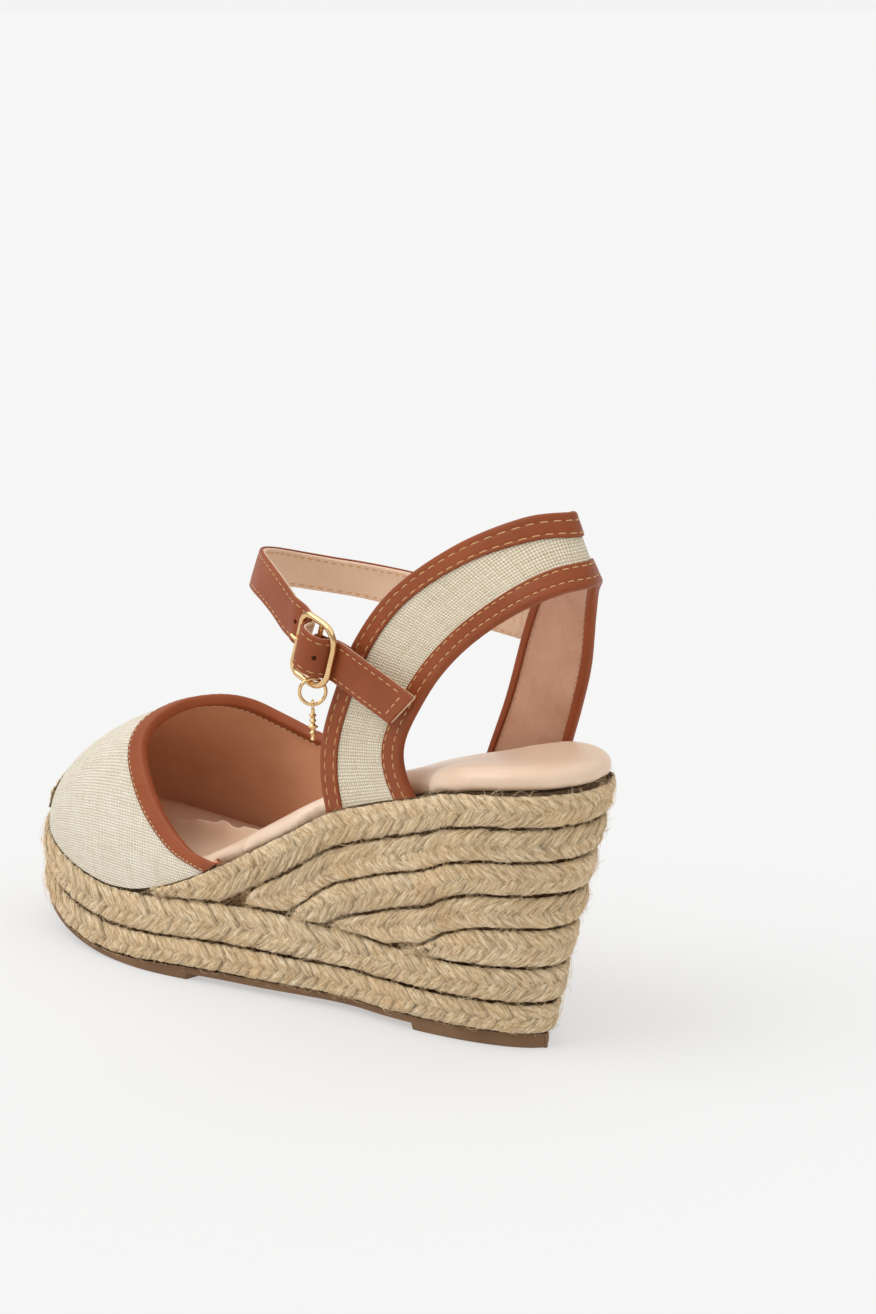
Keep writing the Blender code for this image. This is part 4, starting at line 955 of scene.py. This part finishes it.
def make_vamp():
    sheet("vamp_canvas_outer", VAMP, MAT["vamp_canvas"], 0.0, 0.985, 0.0, -1.0, ("vamp_canvas",),
          vamp_weave, 260, 34)
    sheet("vamp_lining_leather", VAMP, MAT["vamp_lining"], 0.0, 0.985, vamp_lining_level,
          lambda v: vamp_lining_level(v) - 0.8, ("vamp_lining",), None, 240, 30)
    binding("leather_vamp_binding", VAMP, True, OUTER_FACE, -2.4, VAMP_BINDING, 5.0, ("vamp_binding",),
            (VAMP_BINDING - 1.0,))
    build = Build()
    outer_row = edge_line(VAMP, True, VAMP_BINDING - 1.0, OUTER_FACE + BINDING_THICKNESS - 0.2)
    stitch_rows(build, VAMP, [outer_row], 3.1, 2.1, 0.2)
    stitch_rows(build, VAMP, [edge_line(VAMP, True, 4.0, -3.15)], 3.6, 2.6, 0.22)
    build.make("vamp_stitching", MAT["pale_thread"], "shoe", ())


def make_bumper():
    """Braided patch over the toe tip: rows that fan out from its ends."""
    first, last = BUMPER_SPAN
    t = np.linspace(first, last, 121)
    reach = 0.06 + 0.22 * np.maximum(np.sin(math.pi * (t - first) / (last - first)), 0.0) ** 0.7
    levels = np.linspace(-0.3, 1.3, 33)
    build = Build()
    for row in (0, 1):
        low, high = reach * row / 2, reach * (row + 1) / 2
        share = np.clip(levels, 0, 1)
        v = np.clip(low[:, None] + (high - low)[:, None] * share[None], 0.0, 1.0)
        flat = VAMP.at(np.interp(t, np.linspace(0, 1, len(VAMP.s)), VAMP.s)[:, None], v, 1.4
                       - 2.4 * np.abs(levels - share)[None] + 0.4 * np.sin(math.pi * share)[None])
        patch = Patch(flat, levels, False, -1.0)
        heading = 1 if row else -1
        backing(build, patch, 1.3, 0.5)
        plait(build, patch, heading, pitch=BUMPER_PITCH, first=0.8, last=patch.length - 0.8)
    build.make("plait_toe_bumper", MAT["jute"], "shoe", ("toe_bumper",))


# ---- ankle strap ----------------------------------------------------------------------------------------
STRAP = surface_patch(strap_surface, 520, 0.0, 1.0, 17)


def strap_share(along):
    """Distance along the strap's middle where it passes this place along the buckle."""
    s = STRAP.s[int(0.40 * len(STRAP.s)):]
    at = STRAP.at(s, 0.5, 0.0)
    return s[np.argmin(np.abs((at - BUCKLE_CENTRE) @ ALONG - along))]


def cutter(centre, direction, radius, reach, sides=20):
    path = np.array([centre - direction * reach, centre + direction * reach])
    build = Build()
    build.add(sweep(path, radius, sides)[None])
    return build.make("cutter", MAT["tan_edge"], None)


def subtract(piece, tool):
    modifier = piece.modifiers.new("hole", "BOOLEAN")
    modifier.operation, modifier.solver, modifier.object = "DIFFERENCE", "EXACT", tool
    apply_modifiers(piece)
    bpy.data.objects.remove(tool)
    piece.data.shade_smooth()
    piece.data.set_sharp_from_angle(angle=math.radians(50))


def cut_holes(piece):
    """Holes through the strap: one for the prong and one on each side of it."""
    holes = [(PRONG_PATH[2], unit(PRONG_PATH[3] - PRONG_PATH[1]), 1.1)]
    for along in HOLE_PLACES:
        s = strap_share(along)
        holes.append((STRAP.at(s, 0.5, 0.0), unit(STRAP.at(s, 0.5, 1.0) - STRAP.at(s, 0.5, 0.0)), 0.85))
    for centre, direction, radius in holes:
        tool = cutter(centre, direction, radius, 4.5)
        subtract(piece, tool)


def strap_layer(name, material, replaces, section):
    s = np.linspace(0, STRAP.length, 420)
    d, n, tone = [np.array(x) for x in zip(*section)]
    wrinkle = 0.28 * np.exp(-((s - 13.0) / 9.0) ** 2) * np.sin(s * 1.9)
    level = n[None] + wrinkle[:, None] * np.cos(d * 0.5)[None]
    rings = STRAP.at(s[:, None], 0.5 + d[None] / STRAP_WIDTH, level)[None]
    build = Build()
    uv = pairs(s[:, None], d[None])[None]
    build.add(rings, uv=uv, tone=tone[None, None])
    piece = build.make(name, material, None, ())
    cut_holes(piece)
    settle(piece, None, replaces)
    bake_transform(piece)
    return piece


def make_strap():
    half = STRAP_WIDTH / 2
    row = half - 1.7
    face = [(d, 1.18 + 0.14 * math.cos(d / half * 1.4) - 0.2 * math.exp(-((abs(d) - row) / 0.4) ** 2), 1.0)
            for d in np.linspace(-half + 0.7, half - 0.7, 31)]
    rim = [(0.1, 0.25, 0.3), (0.0, 0.55, 0.45), (0.08, 0.9, 0.7), (0.35, 1.12, 0.9)]
    outer = ([(-half + d, n, tone) for d, n, tone in rim] + face
             + [(half - d, n, tone) for d, n, tone in reversed(rim)]
             + [(half - 0.6, 0.1, 0.3), (-half + 0.6, 0.1, 0.3)])
    strap_layer("strap_leather", MAT["tan"], ("ankle_strap_outer",), outer)
    inner = half - 0.35
    lining = [(-inner, 0.0, 1.0), (inner, 0.0, 1.0), (inner, -0.5, 1.0), (inner - 0.3, -0.8, 1.0)]
    lining += [(d, -0.88 + 0.12 * math.exp(-((abs(d) - row) / 0.4) ** 2), 1.0)
               for d in np.linspace(inner - 0.8, -inner + 0.8, 27)]
    lining += [(-inner + 0.3, -0.8, 1.0), (-inner, -0.5, 1.0)]
    strap_layer("strap_lining_leather", MAT["strap_lining"], ("ankle_strap_lining",), lining)
    build = Build()
    for offset in (-row, row):
        for height, radius in ((1.06, 0.21), (-0.82, 0.19)):
            line = share_line(0.5 + offset / STRAP_WIDTH, height)
            stitch_rows(build, STRAP, [line], 3.2, 2.45, radius, 3.4)
    t = np.linspace(0, 1, 6)
    for k in range(3):
        v = 0.5 + ((k - 1) * 3.0 + (t - 0.5) * 2.4) / STRAP_WIDTH
        dip = 0.4 * (1 - np.sin(math.pi * t) ** 0.35)
        path = STRAP.at(np.full(6, STRAP.length - 3.4), v, 1.32 - dip)
        build.add(sweep(path, 0.21, 6)[None])
    piece = build.make("strap_stitching", MAT["thread"], None, ())
    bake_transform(piece)


def make_tab():
    """Leather loop round the buckle's bar, sewn flat on the band."""
    outer = [(24.0, -4.75), (14.0, -4.8), (9.0, -4.8), (5.4, -3.9), (2.3, -0.4)]
    inner = [(1.6, -3.1), (4.4, -5.1), (9.0, -5.95), (14.0, -5.9), (24.0, -5.8)]
    turns = np.radians(65 + 230 * np.arange(1, 8) / 8)
    loop = [(1.65 * math.cos(a), BAR_LEVEL + 1.65 * math.sin(a)) for a in turns]
    line = spline([(a, n, 0.0) for a, n in outer + loop + inner], np.linspace(0, 1, 130))[:, :2]
    along = unit(np.gradient(line, axis=0))
    square = np.stack([-along[:, 1], along[:, 0]], -1)
    half = TAB_HALF_WIDTH - 1.8 * smooth(9.0, 15.0, line[:, 0])
    section = [(1.0, 0.0), (0.985, 0.30), (0.93, 0.45), (0.5, 0.45), (0.0, 0.45), (-0.5, 0.45), (-0.93, 0.45),
               (-0.985, 0.30), (-1.0, 0.0), (-0.985, -0.30), (-0.93, -0.45), (0.0, -0.45), (0.93, -0.45),
               (0.985, -0.30)]
    rings = []
    for across, up in section:
        p = line + square * up
        rings.append(buckle_point(p[:, 0], half * across, p[:, 1]))
    build = Build()
    build.add(np.stack(rings, 1)[None], tone=1.0)
    piece = build.make("tab_loop", MAT["tan"], None)
    slot = Build()
    corners = ((-1.4, -5.0), (1.4, -5.0), (1.4, 4.0), (-1.4, 4.0))
    slot.add(np.array([[buckle_point(a, c, n) for c, n in corners] for a in (-4.5, 3.6)])[None])
    subtract(piece, slot.make("cutter", MAT["tan_edge"], None))
    settle(piece, "shoe", ("buckle_tab",))


# ---- buckle, ring and charm -----------------------------------------------------------------------------
def make_buckle():
    path = []
    for corner, (sa, sc) in enumerate(((1, 1), (-1, 1), (-1, -1), (1, -1))):
        radius = FRAME_CORNER["back" if sa > 0 else "front"]
        for k in range(13):
            turn = math.pi / 2 * (corner + k / 12)
            path.append(buckle_point(sa * (FRAME_HALF_LENGTH - radius) + radius * math.cos(turn),
                                     sc * (FRAME_HALF_HEIGHT - radius) + radius * math.sin(turn), 0.0))
    path = np.array(path)
    dense = []
    for a, b in zip(path, np.roll(path, -1, 0)):
        gap = np.linalg.norm(b - a)
        for f in np.arange(max(int(gap / 0.8), 1)) / max(int(gap / 0.8), 1):
            dense.append(a + (b - a) * f)
    build = Build()
    build.add(sweep(dense, FRAME_WIRE, 20, True)[None], closed=True)
    build.make("buckle_ring", MAT["gold"], "buckle", ("buckle_frame",))
    reach = FRAME_HALF_HEIGHT - FRAME_WIRE - GAP
    build = Build()
    across = np.linspace(-reach, reach, 14)
    build.add(sweep(buckle_point(0.0, across, BAR_LEVEL), BAR_RADIUS, 20)[None])
    build.make("buckle_centre_bar", MAT["gold"], "shoe", ("buckle_bar",))
    build = Build()
    turns = np.linspace(0, 2 * math.pi, 29)[:-1]
    eye = BAR_RADIUS + 0.7
    ring = [buckle_point(eye * math.cos(a), 0.0, BAR_LEVEL + eye * math.sin(a)) for a in turns]
    build.add(sweep(ring, 0.45, 14, True, 2.0, reference=(1.0, 0.0, 0.0))[None], closed=True)
    pin = spline(PRONG_PATH, np.linspace(0, 1, 24))
    build.add(sweep(pin, PRONG_RADIUS * (1 - 0.28 * np.linspace(0, 1, 24) ** 3), 16)[None])
    build.make("buckle_tongue", MAT["gold"], "prong", ("buckle_prong",))


def make_ring_and_charm():
    bar_point = buckle_point(2.6, -FRAME_HALF_HEIGHT, 0.0)
    centre = bar_point + UP * (FRAME_WIRE + RING_WIRE + 0.25 - RING_RADIUS)
    side = np.array([math.cos(RING_TURN), math.sin(RING_TURN), 0.0])
    face = np.array([math.sin(RING_TURN), -math.cos(RING_TURN), 0.0])
    turns = np.arange(72)[:, None] / 72 * 2 * math.pi
    build = Build()
    circle = centre + RING_RADIUS * (side * np.cos(turns) + UP * np.sin(turns))
    build.add(sweep(circle, RING_WIRE, 16, True)[None], closed=True)
    build.make("small_ring", MAT["gold"], "ring", ("jump_ring",))
    hook = centre - UP * RING_RADIUS
    build = Build()
    loop = hook + UP * 0.05 + 1.35 * (face * np.cos(turns[::2]) + UP * np.sin(turns[::2]))
    build.add(sweep(loop, 0.38, 12, True)[None], closed=True)
    z = np.linspace(0, 10.6, 90)
    beads = ((0.42, 2.0, 0.5), (0.36, 3.9, 0.55), (0.55, 5.9, 0.7), (0.34, 7.9, 0.5), (0.3, 10.0, 0.4))
    bead = 0.34 + sum(size * np.exp(-((z - at) / spread) ** 2) for size, at, spread in beads)
    bead = 1.7 * bead * np.clip((10.65 - z) / 0.3, 0.05, 1) ** 0.5
    phi = np.arange(16) / 16 * 2 * math.pi
    low = hook - UP * 1.5
    twist = 1 + 0.14 * np.cos(2 * phi[None] + z[:, None] * 2.2)
    rings = low - UP * z[:, None, None] + (bead[:, None] * twist)[..., None] * (
        side * np.cos(phi)[None, :, None] + face * np.sin(phi)[None, :, None])
    build.add(rings[None])
    build.make("hanging_charm", MAT["gold"], "pendant", ("charm",))


# ---- footbed --------------------------------------------------------------------------------------------
def footbed_inset(u, side):
    """How far the pad stays in from the edge: most beside the band, a little under the vamp."""
    beside = np.where(side > 0, 7.4, 8.6)
    first, last = np.where(side > 0, 31.0, 20.0), np.where(side > 0, 76.0, 82.0)
    vamp = np.where(side > 0, 116.0, 90.0)
    held = smooth(first - 8, first, u) * (1 - smooth(last, last + 8, u))
    under = smooth(vamp - 7, vamp, u)
    return PAD_OPEN_INSET + (beside - PAD_OPEN_INSET) * held + (PAD_VAMP_INSET - PAD_OPEN_INSET) * under


def footbed_floor(u):
    return braid_top(np.clip(u, -HEEL_OVERHANG, BASE_LENGTH)) + 0.35


def cushion_height(u):
    return CUSHION_TOE + (CUSHION_HEEL - CUSHION_TOE) * (1 - smooth(60.0, 170.0, u))


def footbed_mesh(shrink):
    """Closed pad: a lower edge, a rounded side and a dished top, filled in towards its middle line."""
    angle = np.linspace(-math.pi, math.pi, 241)[:-1]
    at, normal = edge(angle, "top"), edge_normal(angle, "top")
    side = np.where(angle >= 0, 1, -1)
    height = cushion_height(at[:, 1]) - shrink
    spine = np.stack([middle(at[:, 1]), np.clip(at[:, 1], 10.0, 212.0)], -1)
    rings = []
    rim = [(0.0, 0.0), (-0.12, 0.25), (-0.1, 0.55), (0.15, 0.8), (0.5, 0.94), (1.0, 1.0), (1.8, 1.0),
           (3.0, 0.98)]
    for across, rise in rim:
        inset = footbed_inset(at[:, 1], side) + shrink + across * height * 0.6
        p = at - normal * inset[:, None]
        z = footbed_floor(p[:, 1]) + rise * height - PAD_SINK * (1 - rise)
        rings.append(np.concatenate([p, z[:, None]], -1))
    last = rings[-1]
    for f in (0.2, 0.4, 0.6, 0.8, 0.97):
        p = last[:, :2] * (1 - f) + spine * f
        z = footbed_floor(p[:, 1]) + (0.98 - 0.06 * (1 - (1 - f) ** 2)) * (cushion_height(p[:, 1]) - shrink)
        rings.append(np.concatenate([p, z[:, None]], -1))
    first = rings[0]
    for f in (0.3, 0.6, 0.97):
        p = first[:, :2] * (1 - f) + spine * f
        rings.insert(0, np.concatenate([p, footbed_floor(p[:, 1])[:, None] - PAD_SINK], -1))
    return np.array(rings)[None]


def inflate(piece, frames):
    """Blow the pad up slightly as cloth, moving no point further than PAD_PUFF, and keep the result."""
    remesh = piece.modifiers.new("remesh", "REMESH")
    remesh.mode, remesh.voxel_size = "VOXEL", PAD_VOXEL
    apply_modifiers(piece)
    start = np.zeros(len(piece.data.vertices) * 3)
    piece.data.vertices.foreach_get("co", start)
    cloth = piece.modifiers.new("cloth", "CLOTH")
    cloth.settings.use_pressure = True
    cloth.settings.uniform_pressure_force = PAD_PRESSURE
    cloth.settings.effector_weights.gravity = 0.0
    cloth.settings.mass, cloth.settings.quality = CLOTH_MASS, CLOTH_QUALITY
    cloth.point_cache.frame_end = frames
    for step in range(1, frames + 1):
        bpy.context.scene.frame_set(step)
    apply_modifiers(piece)
    bpy.context.scene.frame_set(1)
    end = np.zeros(len(start))
    piece.data.vertices.foreach_get("co", end)
    start, end = start.reshape(-1, 3), end.reshape(-1, 3)
    move = end - start
    size = np.linalg.norm(move, axis=1, keepdims=True)
    end = start + move * np.minimum(1.0, PAD_PUFF / np.maximum(size, 1e-9))
    u = U_MIDDLE - end[:, 1] * 1000
    end[:, 2] = np.maximum(end[:, 2], (footbed_floor(u) - PAD_SINK) * 0.001)
    piece.data.vertices.foreach_set("co", end.ravel())
    piece.data.update()


def make_footbed():
    build = Build()
    build.add(footbed_mesh(0.1))
    piece = build.make("footbed_pad", MAT["footbed"], None)
    inflate(piece, 20)
    even = piece.modifiers.new("even", "SMOOTH")
    even.factor, even.iterations = 0.5, 12
    finer = piece.modifiers.new("finer", "SUBSURF")
    finer.levels = finer.render_levels = 1
    apply_modifiers(piece)
    piece.data.materials.clear()
    piece.data.materials.append(MAT["footbed"])
    piece.data.shade_smooth()
    settle(piece, "shoe", ("insole_cover",))


# ---- outsole and the pieces that keep their CAD shape ---------------------------------------------------
def make_outsole():
    """Moulded sole with a chamfered edge, a heel pad, a raised arch and grooves across the tread."""
    places = [2.5 * k + 0.4 for k in range(int(BASE_LENGTH / 2.5) + 1)]
    for start, end in GROOVE_SPANS:
        groove = start
        while groove < end:
            places += [groove, groove + 0.25, groove + 1.45, groove + 1.7]
            groove += GROOVE_PITCH
    places += [HEEL_PAD_END - 0.25, HEEL_PAD_END + 0.25, TREAD_START - 0.25, TREAD_START + 0.25]
    places += [0.02, 0.15, 0.8, BASE_LENGTH - 0.15, BASE_LENGTH - 0.6]
    u = np.array(sorted(p for p in set(places) if 0.0 < p < BASE_LENGTH))
    arch = ((u > HEEL_PAD_END) & (u < TREAD_START)) * ARCH_RISE
    cut = np.zeros(len(u))
    for start, end in GROOVE_SPANS:
        phase = (u - start) % GROOVE_PITCH
        cut += ((u > start) & (u < end) & (phase > 0.2) & (phase < 1.5)) * GROOVE_DEPTH
    bottom, top = sole_level(u) + arch, outsole_top(u) - GAP / 2
    sides = {s: half_width(u, "base", s) for s in (1, -1)}
    section = [(1.35, 1.0, 0), (1.15, 0.75, 0), (1.15, 0.35, 0), (1.35, 0.1, 0), (1.9, 0.0, 0), (4.5, 0.0, 0),
               (4.8, 0.0, 1), (16.0, 0.0, 1)]
    ring = []
    for side in (1, -1):
        half = []
        for inset, rise, grooved in section:
            width = np.maximum(sides[side] - inset, 0.6 if inset < 10 else 0.3)
            z = bottom + (top - bottom) * rise + cut * grooved
            half.append(np.stack([middle(u) + side * width, u, z], -1))
        ring += half if side == 1 else half[::-1]
    build = Build()
    build.add(np.stack(ring, 1)[None])
    build.make("moulded_outsole", MAT["rubber"], "shoe", ("outsole",), 35)


def dress_cad():
    """Pieces whose CAD shape is right get their finish."""
    looks = {"wedge_core": "cork", "insole_board": "board", "toe_puff": "felt", "insole_foam": "foam"}
    for name, look in looks.items():
        data = NODES[name].data
        data.materials.clear()
        data.materials.append(MAT[look])
    tuck = NODES["insole_foam"].modifiers.new("tuck_in", "DISPLACE")
    tuck.strength, tuck.mid_level = -0.0016, 0.0


# ---- stage, light and camera ----------------------------------------------------------------------------
def make_stage():
    floor = bpy.data.meshes.new("floor")
    corners = [(x * FLOOR_REACH, y * FLOOR_REACH, 0) for x, y in ((-1, -1), (1, -1), (1, 1), (-1, 1))]
    floor.from_pydata(corners, [], [(0, 1, 2, 3)])
    paper = Shader("paper", Base_Color=(*(FLOOR_ALBEDO,) * 3, 1.0), Roughness=1.0, Specular_IOR_Level=0.0,
                   Emission_Color=(1.0, 0.997, 0.99, 1.0), Emission_Strength=FLOOR_GLOW)
    floor.materials.append(paper.material)
    piece = bpy.data.objects.new("floor", floor)
    bpy.context.scene.collection.objects.link(piece)

    world = bpy.data.worlds.new("studio")
    bpy.context.scene.world = world
    world.use_nodes = True
    tree = world.node_tree
    sky = tree.nodes.new("ShaderNodeTexCoord")
    parts = tree.nodes.new("ShaderNodeSeparateXYZ")
    ramp = tree.nodes.new("ShaderNodeValToRGB")
    tree.links.new(sky.outputs["Generated"], parts.inputs[0])
    tree.links.new(parts.outputs[2], ramp.inputs[0])
    tree.links.new(ramp.outputs[0], tree.nodes["Background"].inputs[0])
    while len(ramp.color_ramp.elements) < len(SKY_LEVELS):
        ramp.color_ramp.elements.new(0.5)
    for element, (position, level) in zip(ramp.color_ramp.elements, SKY_LEVELS):
        element.position, element.color = position, (level, level, level, 1.0)

    toward = Vector((0.75, -0.45, 1.1))
    sun = bpy.data.lights.new("soft_sun", "SUN")
    sun.energy, sun.angle = SUN_POWER, math.radians(50)
    lamp = bpy.data.objects.new("soft_sun", sun)
    lamp.rotation_euler = toward.to_track_quat("Z", "Y").to_euler()
    bpy.context.scene.collection.objects.link(lamp)

    camera_data = bpy.data.cameras.new("camera")
    camera_data.sensor_fit, camera_data.sensor_height, camera_data.lens = "VERTICAL", 36.0, CAMERA_LENS
    camera = bpy.data.objects.new("camera", camera_data)
    camera.location = CAMERA_PLACE
    camera.rotation_euler = Euler([math.radians(a) for a in CAMERA_TURN])
    bpy.context.scene.collection.objects.link(camera)
    bpy.context.scene.camera = camera
    bpy.context.scene.view_settings.view_transform = "Standard"


braid_patches = make_braids()
make_fuzz(braid_patches)
make_footbed()
make_outsole()
make_vamp()
make_bumper()
make_band()
make_strap()
make_tab()
make_buckle()
make_ring_and_charm()
dress_cad()
make_stage()
